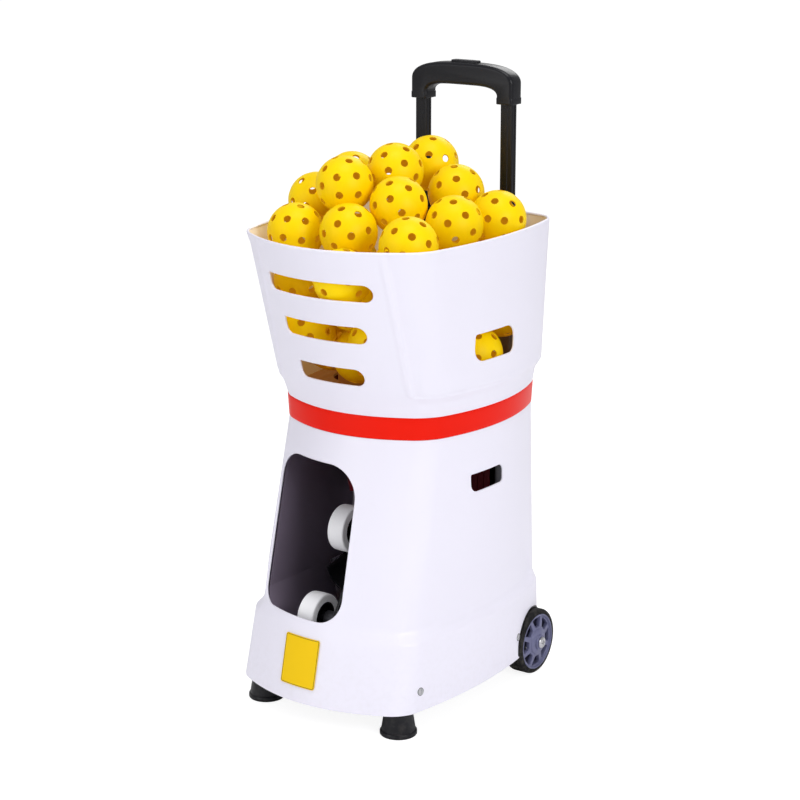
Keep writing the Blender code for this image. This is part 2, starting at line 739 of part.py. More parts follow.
def spoke_window(name, outer_radius, angle):
    """Cutter for one gap between two spokes, in the wheel's own plane."""
    inner_radius = HUB_RADIUS + 0.0035
    half_out = 180 / SPOKES - math.degrees(SPOKE_WIDTH / 2 / outer_radius)
    half_in = 180 / SPOKES - math.degrees(SPOKE_WIDTH / 2 / inner_radius)
    outline = arc(0, 0, outer_radius, angle - half_out, angle + half_out, 3)
    outline += arc(0, 0, inner_radius, angle + half_in, angle - half_in, 1)
    return plate(name, [outline], 3 * WEB_THICKNESS, "YZ")


def build_base():
    """Base plate, feet, wheel axle and the axle's brackets."""
    low = BASE_Z
    high = BASE_Z + BASE_PLATE_THICKNESS
    base = plate("base_plate", [HEM.blend(SKIRT, high).outline(WALL + 2 * GAP)], BASE_PLATE_THICKNESS,
                 "XY", at=(0, 0, (low + high) / 2), colour="motor_grey")
    cut(base, *ARCH_CUTTERS)
    for side, name in ((1, "right"), (-1, "left")):
        foot = [(0, FOOT_HEIGHT), (FOOT_TOP_RADIUS, FOOT_HEIGHT), (FOOT_RADIUS, 0.006),
                (FOOT_RADIUS, 0.0015), (FOOT_RADIUS - 0.0015, 0), (0, 0)]
        turned(f"front_foot_{name}", foot, (side * FOOT_X, FOOT_Y, 0), "Z", "black", 32)
        bracket_low = high + GAP
        bracket = box(f"axle_bracket_{name}",
                      (side * BRACKET_X - BRACKET_THICKNESS / 2, WHEEL_Y - 0.014, bracket_low),
                      (side * BRACKET_X + BRACKET_THICKNESS / 2, WHEEL_Y + 0.014, WHEEL_RADIUS + 0.014),
                      "motor_grey")
        bore = rod(f"bracket_bore_{name}", AXLE_RADIUS + GAP,
                   (side * BRACKET_X - CUT, WHEEL_Y, WHEEL_RADIUS), 2 * CUT, "X", segments=24)
        cut(bracket, bore)
    reach = TYRE_OUTER_X + HUB_PROUD
    rod("wheel_axle", AXLE_RADIUS, (-reach, WHEEL_Y, WHEEL_RADIUS), 2 * reach, "X", "steel", 24)
    return base


def arch_cutters():
    """Round cutters that leave room for the tyres in the casing and the base plate."""
    made = []
    start = TYRE_OUTER_X - TYRE_WIDTH - ARCH_CLEARANCE
    for side, name in ((1, "right"), (-1, "left")):
        first = start if side > 0 else -start - 2 * CUT - TYRE_WIDTH
        made.append(rod(f"arch_cutter_{name}", WHEEL_RADIUS + ARCH_CLEARANCE,
                        (first, WHEEL_Y, WHEEL_RADIUS), 2 * CUT + TYRE_WIDTH, "X", segments=40))
    return made


def build_handle():
    """Telescopic handle: fixed sleeves, sliding tubes, a bowed grip and its release button."""
    sleeve_top = RIM_Z - SLEEVE_TOP_DROP
    sleeve_low = BASE_Z + BASE_PLATE_THICKNESS + GAP
    inner_u = TUBE_WIDTH / 2 + GAP
    inner_v = TUBE_DEPTH / 2 + GAP
    outer_u = inner_u + SLEEVE_WALL
    outer_v = inner_v + SLEEVE_WALL
    guide_low = sleeve_top + GAP
    for side, name in ((1, "right"), (-1, "left")):
        x = side * POST_X
        hole = rounded(-inner_u, inner_u, -inner_v, inner_v, 0.002, steps=2)
        outside = rounded(-outer_u, outer_u, -outer_v, outer_v, 0.003, steps=2)
        length = sleeve_top - sleeve_low
        plate(f"handle_sleeve_{name}", [outside, hole], length, "XY",
              at=(x, POST_Y, sleeve_low + length / 2), colour="motor_grey")
        tube = rounded(-TUBE_WIDTH / 2, TUBE_WIDTH / 2, -TUBE_DEPTH / 2, TUBE_DEPTH / 2, 0.002, steps=2)
        tube_top = LEG_Z - GAP
        hollow = rounded(TUBE_WALL - TUBE_WIDTH / 2, TUBE_WIDTH / 2 - TUBE_WALL,
                         TUBE_WALL - TUBE_DEPTH / 2, TUBE_DEPTH / 2 - TUBE_WALL, 0.001, steps=1)
        plate(f"handle_tube_{name}", [tube, hollow], TUBE_LENGTH, "XY",
              at=(x, POST_Y, tube_top - TUBE_LENGTH / 2), colour="black")
    guide_holes = []
    for side in (1, -1):
        x = side * POST_X
        guide_holes.append(rounded(x - inner_u, x + inner_u, -inner_v, inner_v, 0.002, steps=2))
    guide_back = REAR_INNER_Y - GUIDE_SETBACK - POST_Y
    half = GUIDE_WIDTH / 2
    outline = rounded(-half, half, guide_back - GUIDE_DEPTH, guide_back, 0.003, steps=2)
    plate("handle_guide", [outline, *guide_holes], GUIDE_HEIGHT, "XY",
          at=(0, POST_Y, guide_low + GUIDE_HEIGHT / 2), colour="black")
    build_grip()


def build_grip():
    """Bowed grip over both tubes, with the button's pocket in its top."""
    top_rise = GRIP_TOP_Z - GRIP_SIDE_Z
    corner = 0.030
    outer = [(GRIP_HALF_WIDTH, LEG_Z)]
    outer += bow_points(GRIP_HALF_WIDTH, corner, GRIP_SIDE_Z, top_rise)
    outer += [(-GRIP_HALF_WIDTH, LEG_Z)]
    inside = GRIP_HALF_WIDTH - LEG_WIDTH
    inner = [(-inside, LEG_Z)]
    inner += [(-u, v) for u, v in bow_points(inside, 0.012, GRIP_SIDE_Z - 0.010,
                                            GRIP_TOP_Z - GRIP_BAR - GRIP_SIDE_Z + 0.010)]
    inner += [(inside, LEG_Z)]
    grip = plate("handle_grip", [outer + inner], GRIP_DEPTH, "XZ", at=(0, POST_Y, 0), colour="black",
                 smooth=True)
    bevel(grip, GRIP_ROUND, 2)
    depth = BUTTON_TRAVEL + 0.004
    half_x, half_y = BUTTON_LENGTH / 2 + GAP, BUTTON_DEPTH / 2 + GAP
    pocket = plate("button_pocket", [rounded(-half_x, half_x, -half_y, half_y, 0.003, steps=3)],
                   2 * depth, "XY", at=(0, POST_Y, GRIP_TOP_Z))
    cut(grip, pocket)
    button_low = GRIP_TOP_Z - depth + BUTTON_TRAVEL + GAP
    button_high = GRIP_TOP_Z + BUTTON_PROUD
    height = button_high - button_low
    button = plate("release_button", [rounded(-BUTTON_LENGTH / 2, BUTTON_LENGTH / 2, -BUTTON_DEPTH / 2,
                                              BUTTON_DEPTH / 2, 0.003, steps=3)], height, "XY",
                   at=(0, POST_Y, button_low + height / 2), colour="black")
    bevel(button, 0.0008, 1)


def bow_points(half_width, corner, side_z, rise):
    """Arched line from right to left: round corners and a bowed top."""
    points = arc(half_width - corner, side_z, corner, 0, 50, 4)
    start_u, start_v = points[-1]
    top = side_z + rise
    steps = 6
    for step in range(1, steps):
        u = start_u * (1 - 2 * step / steps)
        points.append((u, top - (top - start_v) * (u / start_u) ** 2))
    points += [(-u, v) for u, v in reversed(arc(half_width - corner, side_z, corner, 0, 50, 4))]
    return points


ROTOR_Z = COLLAR.height + FLOOR_THICKNESS + 2 * GAP
DROP_X = POCKET_RADIUS * math.cos(math.radians(DROP_ANGLE))
DROP_Y = ROTOR_Y + POCKET_RADIUS * math.sin(math.radians(DROP_ANGLE))
FLOOR_LOW = COLLAR.height


def build_feed():
    """Hopper floor, the fingered rotor that meters the balls, its motor and the drop chute."""
    floor_z = FLOOR_LOW + FLOOR_THICKNESS / 2
    outline = COLLAR.outline(WALL + 2 * GAP)
    holes = [circle(DROP_X, DROP_Y, DROP_RADIUS, 32), circle(0, ROTOR_Y, 0.006, 16)]
    floor = plate("hopper_floor", [outline, *holes], FLOOR_THICKNESS, "XY", at=(0, 0, floor_z),
                  colour="duct_grey")
    half_x = TUBE_WIDTH / 2 + 3 * SLEEVE_WALL
    half_y = TUBE_DEPTH / 2 + 3 * SLEEVE_WALL
    for side in (1, -1):
        notch = box(f"sleeve_notch_{side}", (side * POST_X - half_x, POST_Y - half_y, FLOOR_LOW - CUT),
                    (side * POST_X + half_x, REAR_OUTER_Y, FLOOR_LOW + CUT))
        cut(floor, notch)
    low = ROTOR_Z
    chamfer = 0.002
    hub = [(SMALL_SHAFT_RADIUS + GAP, ROTOR_HEIGHT), (ROTOR_HUB_RADIUS - chamfer, ROTOR_HEIGHT),
           (ROTOR_HUB_RADIUS, ROTOR_HEIGHT - chamfer), (ROTOR_HUB_RADIUS, 0), (SMALL_SHAFT_RADIUS + GAP, 0)]
    rotor = turned("feed_rotor", hub, (0, ROTOR_Y, low), "Z", "black", 30, ring=True)
    for finger in range(ROTOR_FINGERS):
        angle = DROP_ANGLE + 360 * (finger + 0.5) / ROTOR_FINGERS
        bar = rounded(ROTOR_HUB_RADIUS * 0.5, ROTOR_RADIUS, -FINGER_WIDTH / 2, FINGER_WIDTH / 2,
                      0.0035, steps=2)
        arm = plate(f"rotor_finger_{finger}", [bar], ROTOR_HEIGHT, "XY")
        arm.location = (0, ROTOR_Y, low + ROTOR_HEIGHT / 2)
        arm.rotation_euler.z = math.radians(angle)
        join(rotor, arm)
    motor_top = FLOOR_LOW - GAP
    shaft_top = low + ROTOR_HEIGHT * 0.6
    motor_low = motor_top - FEED_MOTOR_LENGTH
    profile = [(0, shaft_top), (SMALL_SHAFT_RADIUS, shaft_top), (SMALL_SHAFT_RADIUS, motor_top),
               (FEED_MOTOR_RADIUS, motor_top), (FEED_MOTOR_RADIUS, motor_low), (0, motor_low)]
    turned("feed_motor", profile, (0, ROTOR_Y, 0), "Z", "motor_grey", 24)
    build_chute()


def build_chute():
    """Dark chute that carries a ball from the floor's hole down behind the rollers."""
    top = FLOOR_LOW - GAP
    start = Vector((DROP_X, DROP_Y, top))
    end = Vector((HEAD_X, CHUTE_END_Y, CHUTE_END_Z))
    run = start - end
    turn = run.to_track_quat("Z", "Y").to_matrix().to_4x4()
    radius = DROP_RADIUS + CHUTE_WALL
    length = run.length + 2 * CUT
    body = rod("drop_chute", radius, (0, 0, 0), length, "Z", "maroon", 32)
    body.matrix_world = Matrix.Translation(end) @ turn
    flange = rod("chute_flange", radius + CHUTE_FLANGE, (DROP_X, DROP_Y, top - 0.003), 0.003, "Z",
                 segments=32)
    bore = rod("chute_bore", DROP_RADIUS, (0, 0, 0), length + 2 * CUT, "Z", segments=32)
    bore.matrix_world = Matrix.Translation(end - run.normalized() * CUT) @ turn
    above = box("chute_trim", (DROP_X - 0.1, DROP_Y - 0.1, top), (DROP_X + 0.1, DROP_Y + 0.1, top + 0.1))
    join(body, flange)
    cut(body, bore, above)
    return body


def gear_outline(teeth, module, first=0, count=None):
    """Outline of a gear, or of part of its rim, with tapered teeth that leave some backlash."""
    pitch = teeth * module / 2
    tip = pitch + 0.85 * module
    base = pitch - 1.15 * module
    step = 360 / teeth
    count = teeth if count is None else count
    points = []
    for tooth in range(first, first + count):
        centre = tooth * step
        for radius, offset in ((base, -0.32), (tip, -0.13), (tip, 0.13), (base, 0.32)):
            angle = math.radians(centre + offset * step)
            points.append((radius * math.cos(angle), radius * math.sin(angle)))
    return points


def build_yaw_base():
    """Fixed bearing, toothed turntable, its pinion and motor, and the yoke that carries the head."""
    deck = BASE_Z + BASE_PLATE_THICKNESS + GAP
    table_low = deck + BEARING_HEIGHT + GAP
    table_high = table_low + TURNTABLE_THICKNESS
    yoke_low = table_high + GAP
    yoke_high = yoke_low + YOKE_THICKNESS
    spindle_top = yoke_high + 0.002 - deck
    profile = [(0, spindle_top), (SPINDLE_RADIUS, spindle_top), (SPINDLE_RADIUS, BEARING_HEIGHT),
               (BEARING_RADIUS, BEARING_HEIGHT), (BEARING_RADIUS, 0), (0, 0)]
    turned("yaw_bearing", profile, (HEAD_X, YAW_Y, deck), "Z", "steel", 32)
    spindle_hole = circle(0, 0, SPINDLE_RADIUS + GAP, 24)
    angle = math.radians(YAW_PINION_ANGLE)
    first = round(YAW_PINION_ANGLE / 360 * YAW_TEETH) - YAW_TEETH_CUT // 2
    rim = gear_outline(YAW_TEETH, YAW_MODULE, first, YAW_TEETH_CUT)
    plain_from = (first + YAW_TEETH_CUT - 0.5) * 360 / YAW_TEETH
    plain_to = (first - 0.5) * 360 / YAW_TEETH + 360
    rim += arc(0, 0, (YAW_TEETH / 2 - 1) * YAW_MODULE, plain_from, plain_to, 28)
    plate("yaw_turntable", [rim, spindle_hole], TURNTABLE_THICKNESS, "XY",
          at=(HEAD_X, YAW_Y, (table_low + table_high) / 2), colour="gear_white")
    distance = (YAW_TEETH + YAW_PINION_TEETH) * YAW_MODULE / 2 + GAP
    pinion_x = HEAD_X + distance * math.cos(angle)
    pinion_y = YAW_Y + distance * math.sin(angle)
    pinion = plate("yaw_pinion", [gear_outline(YAW_PINION_TEETH, YAW_MODULE),
                                  circle(0, 0, SMALL_SHAFT_RADIUS + GAP, 16)], TURNTABLE_THICKNESS, "XY",
                   at=(pinion_x, pinion_y, (table_low + table_high) / 2), colour="gear_white")
    pinion.rotation_euler.z = meshing_turn(angle, YAW_TEETH, YAW_PINION_TEETH)
    build_yaw_motor(pinion_x, pinion_y, deck, table_low, table_high)
    build_yoke(yoke_low, yoke_high, spindle_hole)


def meshing_turn(angle, wheel_teeth, pinion_teeth):
    """Turn that sets a pinion's gap on the wheel's tooth nearest the line between centres."""
    wheel_step = 2 * math.pi / wheel_teeth
    nearest = round(angle / wheel_step) * wheel_step
    pinion_step = 2 * math.pi / pinion_teeth
    slip = (nearest - angle) * wheel_teeth / pinion_teeth
    return angle + math.pi + pinion_step / 2 - slip


def build_yaw_motor(x, y, deck, table_low, table_high):
    """Small geared motor on a post, with its shaft down through the pinion."""
    bridge_low = table_high + GAP
    bridge_high = bridge_low + 0.0035
    body_high = bridge_high + YAW_MOTOR_LENGTH
    profile = [(0, body_high), (YAW_MOTOR_RADIUS, body_high), (YAW_MOTOR_RADIUS, bridge_low),
               (SMALL_SHAFT_RADIUS, bridge_low), (SMALL_SHAFT_RADIUS, table_low), (0, table_low)]
    motor = turned("yaw_motor", profile, (x, y, 0), "Z", "motor_grey", 24)
    reach = 0.030
    half = 0.009
    bridge = box("yaw_motor_bridge", (x - reach, y - half, bridge_low), (x, y + half, bridge_high))
    post = box("yaw_motor_post", (x - reach, y - half, deck), (x - reach + 0.012, y + half, bridge_high))
    join(motor, bridge, post)
    return motor


PIVOT = Vector((HEAD_X, HEAD_Y, HEAD_Z))
ROLLER_REACH = ROLLER_RADIUS + ROLLER_GAP / 2
MOTOR_PLATE_X = BALL_DIAMETER / 2 + GUIDE_TROUGH_WALL + 3 * GAP
PITCH_REACH = (PITCH_TEETH + PITCH_PINION_TEETH) * PITCH_MODULE / 2 + GAP


def pinion_place():
    """Where the pitch pinion's axis stands, as an offset from the head's pivot in Y and Z."""
    angle = math.radians(PITCH_PINION_ANGLE)
    return PITCH_REACH * math.cos(angle), PITCH_REACH * math.sin(angle)


def build_yoke(low, high, spindle_hole):
    """L-shaped yoke: a foot on the turntable and one arm with the pivot's bearing."""
    foot_outline = rounded(YOKE_LEFT_X - HEAD_X, YOKE_ARM_X + YOKE_THICKNESS - HEAD_X,
                           -YOKE_HALF_DEPTH, YOKE_HALF_DEPTH, 0.004, steps=2)
    foot = plate("yoke_frame", [foot_outline, spindle_hole], high - low, "XY",
                 at=(HEAD_X, YAW_Y, (low + high) / 2), colour="black")
    offset_y, offset_z = pinion_place()
    arm_outline = [(-0.018, low - HEAD_Z), (YAW_Y + YOKE_HALF_DEPTH - HEAD_Y, low - HEAD_Z),
                   (YAW_Y + YOKE_HALF_DEPTH - HEAD_Y, -0.080), (offset_y + 0.018, offset_z)]
    arm_outline += arc(0, 0, 0.020, 30, 190, 8)
    holes = [circle(0, 0, PIVOT_RADIUS + GAP, 24), circle(offset_y, offset_z, SMALL_SHAFT_RADIUS + GAP, 16)]
    arm = plate("yoke_arm", [arm_outline, *holes], YOKE_THICKNESS, "YZ",
                at=(YOKE_ARM_X + YOKE_THICKNESS / 2, HEAD_Y, HEAD_Z))
    join(foot, arm)
    return foot


def head_frame():
    """Empty at the pitch axis, tilted so that its -Y points the way a ball leaves."""
    frame = bpy.data.objects.new("launch_axis", None)
    PARTS.objects.link(frame)
    frame.location = PIVOT
    frame.rotation_euler.x = math.radians(-LAUNCH_ANGLE)
    return frame


def build_head():
    """Launch head: side plate, two motors with their rollers, ball trough and pitch gear."""
    frame = head_frame()
    tail_half = PLATE_TAIL_HEIGHT / 2
    outline = arc(0, -ROLLER_REACH, PLATE_MARGIN, 180, 360, 8)
    outline += [(PLATE_MARGIN, -tail_half), (PLATE_TAIL, -tail_half), (PLATE_TAIL, tail_half),
                (PLATE_MARGIN, tail_half)]
    outline += arc(0, ROLLER_REACH, PLATE_MARGIN, 0, 180, 8)
    nose_hole = NOSE_RADIUS + GAP
    holes = [circle(0, ROLLER_REACH, nose_hole, 24), circle(0, -ROLLER_REACH, nose_hole, 24)]
    plate_x = MOTOR_PLATE_X + PLATE_THICKNESS / 2
    head = plate("head_plate", [outline, *holes], PLATE_THICKNESS, "YZ", at=(plate_x, 0, 0), colour="black")
    head.parent = frame
    pivot_end = YOKE_ARM_X + YOKE_THICKNESS + GAP + PITCH_GEAR_THICKNESS + GAP - HEAD_X
    pivot = rod("pivot_shaft", PIVOT_RADIUS, (plate_x, 0, 0), pivot_end - plate_x, "X", segments=24)
    pivot.parent = frame
    join(head, pivot)
    for sign, name in ((1, "upper"), (-1, "lower")):
        build_roller(frame, name, sign * ROLLER_REACH)
    build_trough(frame)
    build_pitch_gears(frame)


def build_roller(frame, name, height):
    """One launch motor with its shaft, and the hub and soft tread that it spins."""
    half = ROLLER_WIDTH / 2
    nose_end = half + 0.0025
    body_start = MOTOR_PLATE_X + PLATE_THICKNESS + GAP
    body_end = body_start + MOTOR_LENGTH
    shaft_end = -half + 0.003
    profile = [(0, body_end), (MOTOR_RADIUS * 0.9, body_end), (MOTOR_RADIUS, body_end - 0.002),
               (MOTOR_RADIUS, body_start), (NOSE_RADIUS, body_start), (NOSE_RADIUS, nose_end),
               (SHAFT_RADIUS, nose_end), (SHAFT_RADIUS, shaft_end), (0, shaft_end)]
    motor = turned(f"{name}_motor", profile, (0, 0, height), "X", "motor_grey", 24)
    motor.parent = frame
    inner = ROLLER_RADIUS - TREAD_THICKNESS
    crown = 0.002
    tread_profile = [(inner, half), (ROLLER_RADIUS - crown, half), (ROLLER_RADIUS, half - crown),
                     (ROLLER_RADIUS, crown - half), (ROLLER_RADIUS - crown, -half), (inner, -half)]
    tread = turned(f"{name}_tread", tread_profile, (0, 0, height), "X", "tread_white", 40, ring=True)
    tread.parent = frame
    hub_radius = inner - GAP
    bore = SHAFT_RADIUS + GAP
    face = half - 0.001
    hub_profile = [(bore, face), (0.008, face), (0.008, face - 0.005), (hub_radius - 0.003, face - 0.005),
                   (hub_radius - 0.003, face), (hub_radius, face), (hub_radius, -face), (bore, -face)]
    hub = turned(f"{name}_hub", hub_profile, (0, 0, height), "X", "black", 32, ring=True)
    hub.parent = frame


def build_trough(frame):
    """Half-round trough that leads a falling ball into the rollers' gap."""
    radius = BALL_DIAMETER / 2 + 2 * GAP
    outer = radius + GUIDE_TROUGH_WALL
    outline = arc(0, 0, outer, 180, 360, 14) + arc(0, 0, radius, 360, 180, 14)
    trough = plate("ball_trough", [outline], TROUGH_LENGTH, "XZ", colour="black")
    trough.parent = frame
    tilt = math.radians(TROUGH_ANGLE)
    middle = TROUGH_LENGTH / 2
    trough.rotation_euler.x = tilt
    trough.location = (0, TROUGH_START + middle * math.cos(tilt),
                       TROUGH_START * 0.28 + middle * math.sin(tilt))


def build_pitch_gears(frame):
    """Toothed sector on the head's pivot, and the pinion and motor on the yoke that turn it."""
    gear_x = YOKE_ARM_X + YOKE_THICKNESS + GAP + PITCH_GEAR_THICKNESS / 2
    offset_y, offset_z = pinion_place()
    first = -SECTOR_TEETH // 2
    rim = gear_outline(PITCH_TEETH, PITCH_MODULE, first, SECTOR_TEETH)
    outline = rim + arc(0, 0, 0.011, 100, 260, 8)
    bore = circle(0, 0, PIVOT_RADIUS + GAP, 24)
    sector = plate("pitch_sector", [outline, bore], PITCH_GEAR_THICKNESS, "YZ",
                   at=(gear_x, HEAD_Y, HEAD_Z), colour="gear_white")
    step = 2 * math.pi / PITCH_TEETH
    angle = math.radians(PITCH_PINION_ANGLE)
    sector.rotation_euler.x = round(angle / step) * step
    pinion = plate("pitch_pinion", [gear_outline(PITCH_PINION_TEETH, PITCH_MODULE),
                                    circle(0, 0, SMALL_SHAFT_RADIUS + GAP, 16)], PITCH_GEAR_THICKNESS, "YZ",
                   at=(gear_x, HEAD_Y + offset_y, HEAD_Z + offset_z), colour="gear_white")
    pinion.rotation_euler.x = meshing_turn(angle, PITCH_TEETH, PITCH_PINION_TEETH)
    motor_end = YOKE_ARM_X - GAP
    motor_start = motor_end - 0.036
    shaft_end = gear_x + PITCH_GEAR_THICKNESS / 2
    profile = [(0, shaft_end), (SMALL_SHAFT_RADIUS, shaft_end), (SMALL_SHAFT_RADIUS, motor_end),
               (PITCH_MOTOR_RADIUS, motor_end), (PITCH_MOTOR_RADIUS, motor_start), (0, motor_start)]
    turned("pitch_motor", profile, (0, HEAD_Y + offset_y, HEAD_Z + offset_z), "X", "motor_grey", 24)


class Pile:
    """Balls dropped one by one into the hopper, each rolled down to where it comes to rest."""

    def __init__(self):
        self.radius = BALL_DIAMETER / 2
        self.floor = ROTOR_Z + ROTOR_HEIGHT + GAP + self.radius
        guide_front = REAR_INNER_Y - GUIDE_SETBACK - GUIDE_DEPTH
        grip_front = POST_Y - GRIP_DEPTH / 2
        self.back = min(guide_front, grip_front) - self.radius - 2 * BALL_SIDE_CLEARANCE
        self.balls = []

    def height_at(self, x, y):
        """Height at which a ball would stop if it came straight down here."""
        height = self.floor
        for ball in self.balls:
            spread = (x - ball.x) ** 2 + (y - ball.y) ** 2
            if spread < BALL_SPACING ** 2:
                height = max(height, ball.z + math.sqrt(BALL_SPACING ** 2 - spread))
        return height

    def fits(self, x, y, z):
        """Whether a ball here is clear of the hopper's leaning walls and of the handle's guide."""
        station = station_at(HOPPER_STATIONS, min(z, RIM_Z))
        reach = 1.05 * (WALL + self.radius + BALL_SIDE_CLEARANCE)
        for edge_x, edge_y in circle(x, y, reach, 12):
            if abs(edge_x) > station.side_x(edge_y) or edge_y < station.front_y(edge_x):
                return False
        return y <= self.back

    def roll(self, x, y):
        """Follow the steepest way down from a starting point, in ever smaller steps."""
        height = self.height_at(x, y)
        for stride in (0.006, 0.002, 0.0006, 0.0002):
            moved = True
            while moved:
                moved = False
                best = (height - stride / 20, x, y)
                for next_x, next_y in circle(x, y, stride, 16):
                    next_height = self.height_at(next_x, next_y)
                    if next_height < best[0] and self.fits(next_x, next_y, next_height):
                        best = (next_height, next_x, next_y)
                        moved = True
                if moved:
                    height, x, y = best
        self.balls.append(Vector((x, y, height)))

    def place(self, x, y):
        """Put a ball straight down at a chosen place."""
        self.balls.append(Vector((x, y, self.height_at(x, y))))


def filled_pile():
    """Pile of all the balls: the filling, its top-ups and the heap seen above the rim."""
    pile = Pile()
    for number in range(BALL_FILL):
        angle = number * math.radians(137.507)
        share = math.sqrt((number % 11 + 0.5) / 11)
        pile.roll(BALL_FILL_SPREAD[0] * share * math.cos(angle),
                  BALL_FILL_Y + BALL_FILL_SPREAD[1] * share * math.sin(angle))
    for x, y in BALL_TOP_UPS:
        pile.roll(x, y)
    for share_x, share_y in HEAP_SHARES:
        pile.place(share_x * RIM_HALF_WIDTH, share_y * RIM_HALF_WIDTH)
    return pile


def build_balls():
    """Load of balls as one bonded piece, each tied by a short neck to the nearest one before it."""
    pile = filled_pile()
    bm = bmesh.new()
    for ball in pile.balls:
        bmesh.ops.create_uvsphere(bm, u_segments=12, v_segments=6, radius=pile.radius,
                                  matrix=Matrix.Translation(ball))
    load = add_object("pickleballs", mesh_from("pickleballs", bm), "ball_yellow")
    bm = bmesh.new()
    for index, ball in enumerate(pile.balls[1:], start=1):
        nearest = min(pile.balls[:index], key=lambda other: (ball - other).length)
        way = ball - nearest
        depth = way.length - 1.5 * pile.radius
        place = Matrix.Translation((ball + nearest) / 2) @ way.to_track_quat("Z", "Y").to_matrix().to_4x4()
        bmesh.ops.create_cone(bm, cap_ends=True, segments=6, radius1=NECK_RADIUS, radius2=NECK_RADIUS,
                              depth=depth, matrix=place)
    join(load, add_object("ball_necks", mesh_from("ball_necks", bm)))


def build_shroud():
    """Dark liner behind the port: left wall with a bent foot, and a top."""
    wall = SHROUD_WALL
    left = SHROUD_X
    outer = [(SHROUD_RIGHT_X, SHROUD_TOP_Z)]
    outer += arc(left + SHROUD_BEND, SHROUD_TOP_Z - SHROUD_BEND, SHROUD_BEND, 90, 180, 5)
    outer += [(left, SHROUD_CREASE_Z), (SHROUD_FOOT_X, SHROUD_FOOT_Z)]
    inner = [(SHROUD_FOOT_X + wall, SHROUD_FOOT_Z), (left + wall, SHROUD_CREASE_Z)]
    inner += arc(left + SHROUD_BEND, SHROUD_TOP_Z - SHROUD_BEND, SHROUD_BEND - wall, 180, 90, 5)
    inner += [(SHROUD_RIGHT_X, SHROUD_TOP_Z - wall)]
    depth = 0.30
    shroud = plate("port_shroud", [outer + inner], depth, "XZ", at=(0, SHROUD_BACK_Y - depth / 2, 0),
                   colour="duct_grey")
    fit = inner_space("shroud_fit", BASE_STATIONS, WALL + 2 * GAP)
    boolean(shroud, fit, "INTERSECT")
    lower_back = box("shroud_lower_back", (left - CUT, SHROUD_LOWER_BACK_Y, SHROUD_FOOT_Z - CUT),
                     (SHROUD_FOOT_X + CUT, SHROUD_BACK_Y + CUT, SHROUD_CREASE_Z))
    top_back = box("shroud_top_back", (left - CUT, SHROUD_TOP_BACK_Y, SHROUD_TOP_Z - SHROUD_BEND),
                   (SHROUD_RIGHT_X + CUT, SHROUD_BACK_Y + CUT, SHROUD_TOP_Z + CUT))
    cut(shroud, lower_back, top_back)
    return shroud


def build_power():
    """Battery on the base plate."""
    deck = BASE_Z + BASE_PLATE_THICKNESS + GAP
    width, depth, height = BATTERY_SIZE
    pack = box("battery_pack", (-width / 2, BATTERY_Y - depth / 2, deck),
               (width / 2, BATTERY_Y + depth / 2, deck + height), "battery_blue")
    bevel(pack, 0.003, 2)


def build_rear_panel():
    """Control panel seated inside the rear opening, with its switch, socket, keys and display."""
    low_x, high_x, low_z, high_z = REAR_OPENING
    face = REAR_INNER_Y - 2 * GAP
    back = face - PANEL_THICKNESS
    middle = (face + back) / 2
    outline = rounded(low_x - PANEL_MARGIN, high_x + PANEL_MARGIN, low_z - PANEL_MARGIN,
                      high_z + PANEL_MARGIN, REAR_OPENING_RADIUS, steps=3)
    half_w, half_h = ROCKER_SIZE[0] / 2 + GAP, ROCKER_SIZE[1] / 2 + GAP
    rocker_hole = rounded(ROCKER_X - half_w, ROCKER_X + half_w, ROCKER_Z - half_h, ROCKER_Z + half_h,
                          0.001, 1)
    half_w, half_h = DISPLAY_SIZE[0] / 2, DISPLAY_SIZE[1] / 2
    display_hole = rounded(-half_w, half_w, DISPLAY_Z - half_h, DISPLAY_Z + half_h, 0.002, 2)
    holes = [rocker_hole, display_hole, circle(SOCKET_X, ROCKER_Z, SOCKET_RADIUS + GAP, 20)]
    holes += [circle(side * KEY_X, KEY_Z, KEY_RADIUS + GAP, 20) for side in (1, -1)]
    panel = plate("rear_panel", [outline, *holes], PANEL_THICKNESS, "XZ", at=(0, middle, 0), colour="black")
    width, thickness, height = BOARD_SIZE
    board_z = (low_z + high_z) / 2 + BOARD_LIFT
    board_face = back - STANDOFF_LENGTH
    for side in (1, -1):
        for end in (1, -1):
            x = side * (width / 2 - STANDOFF_INSET)
            z = board_z + end * (height / 2 - STANDOFF_INSET)
            post = rod(f"standoff_{side}_{end}", STANDOFF_RADIUS, (x, board_face + GAP, z),
                       STANDOFF_LENGTH, "Y", segments=12)
            join(panel, post)
    box("control_board", (-width / 2, board_face - thickness, board_z - height / 2),
        (width / 2, board_face, board_z + height / 2), "board_green")
    pane = rounded(GAP - half_w, half_w - GAP, DISPLAY_Z - half_h + GAP, DISPLAY_Z + half_h - GAP, 0.002, 2)
    plate("display_window", [pane], PANEL_THICKNESS + 0.0005, "XZ", at=(0, middle, 0),
          colour="display_glass")
    inner = SOCKET_RADIUS * 0.6
    bottom = GAP - STANDOFF_LENGTH
    turned("charge_socket", [(0, bottom / 2), (inner, bottom / 2), (inner, PANEL_THICKNESS),
                             (SOCKET_RADIUS, PANEL_THICKNESS), (SOCKET_RADIUS, bottom), (0, bottom)],
           (SOCKET_X, back, ROCKER_Z), "Y", "steel", 20)
    build_rocker(middle)
    for side, name in ((1, "plus"), (-1, "minus")):
        key_back = back - 0.002
        rod(f"speed_key_{name}", KEY_RADIUS, (side * KEY_X, key_back, KEY_Z),
            face + KEY_PROUD - key_back, "Y", "tread_white", 20)


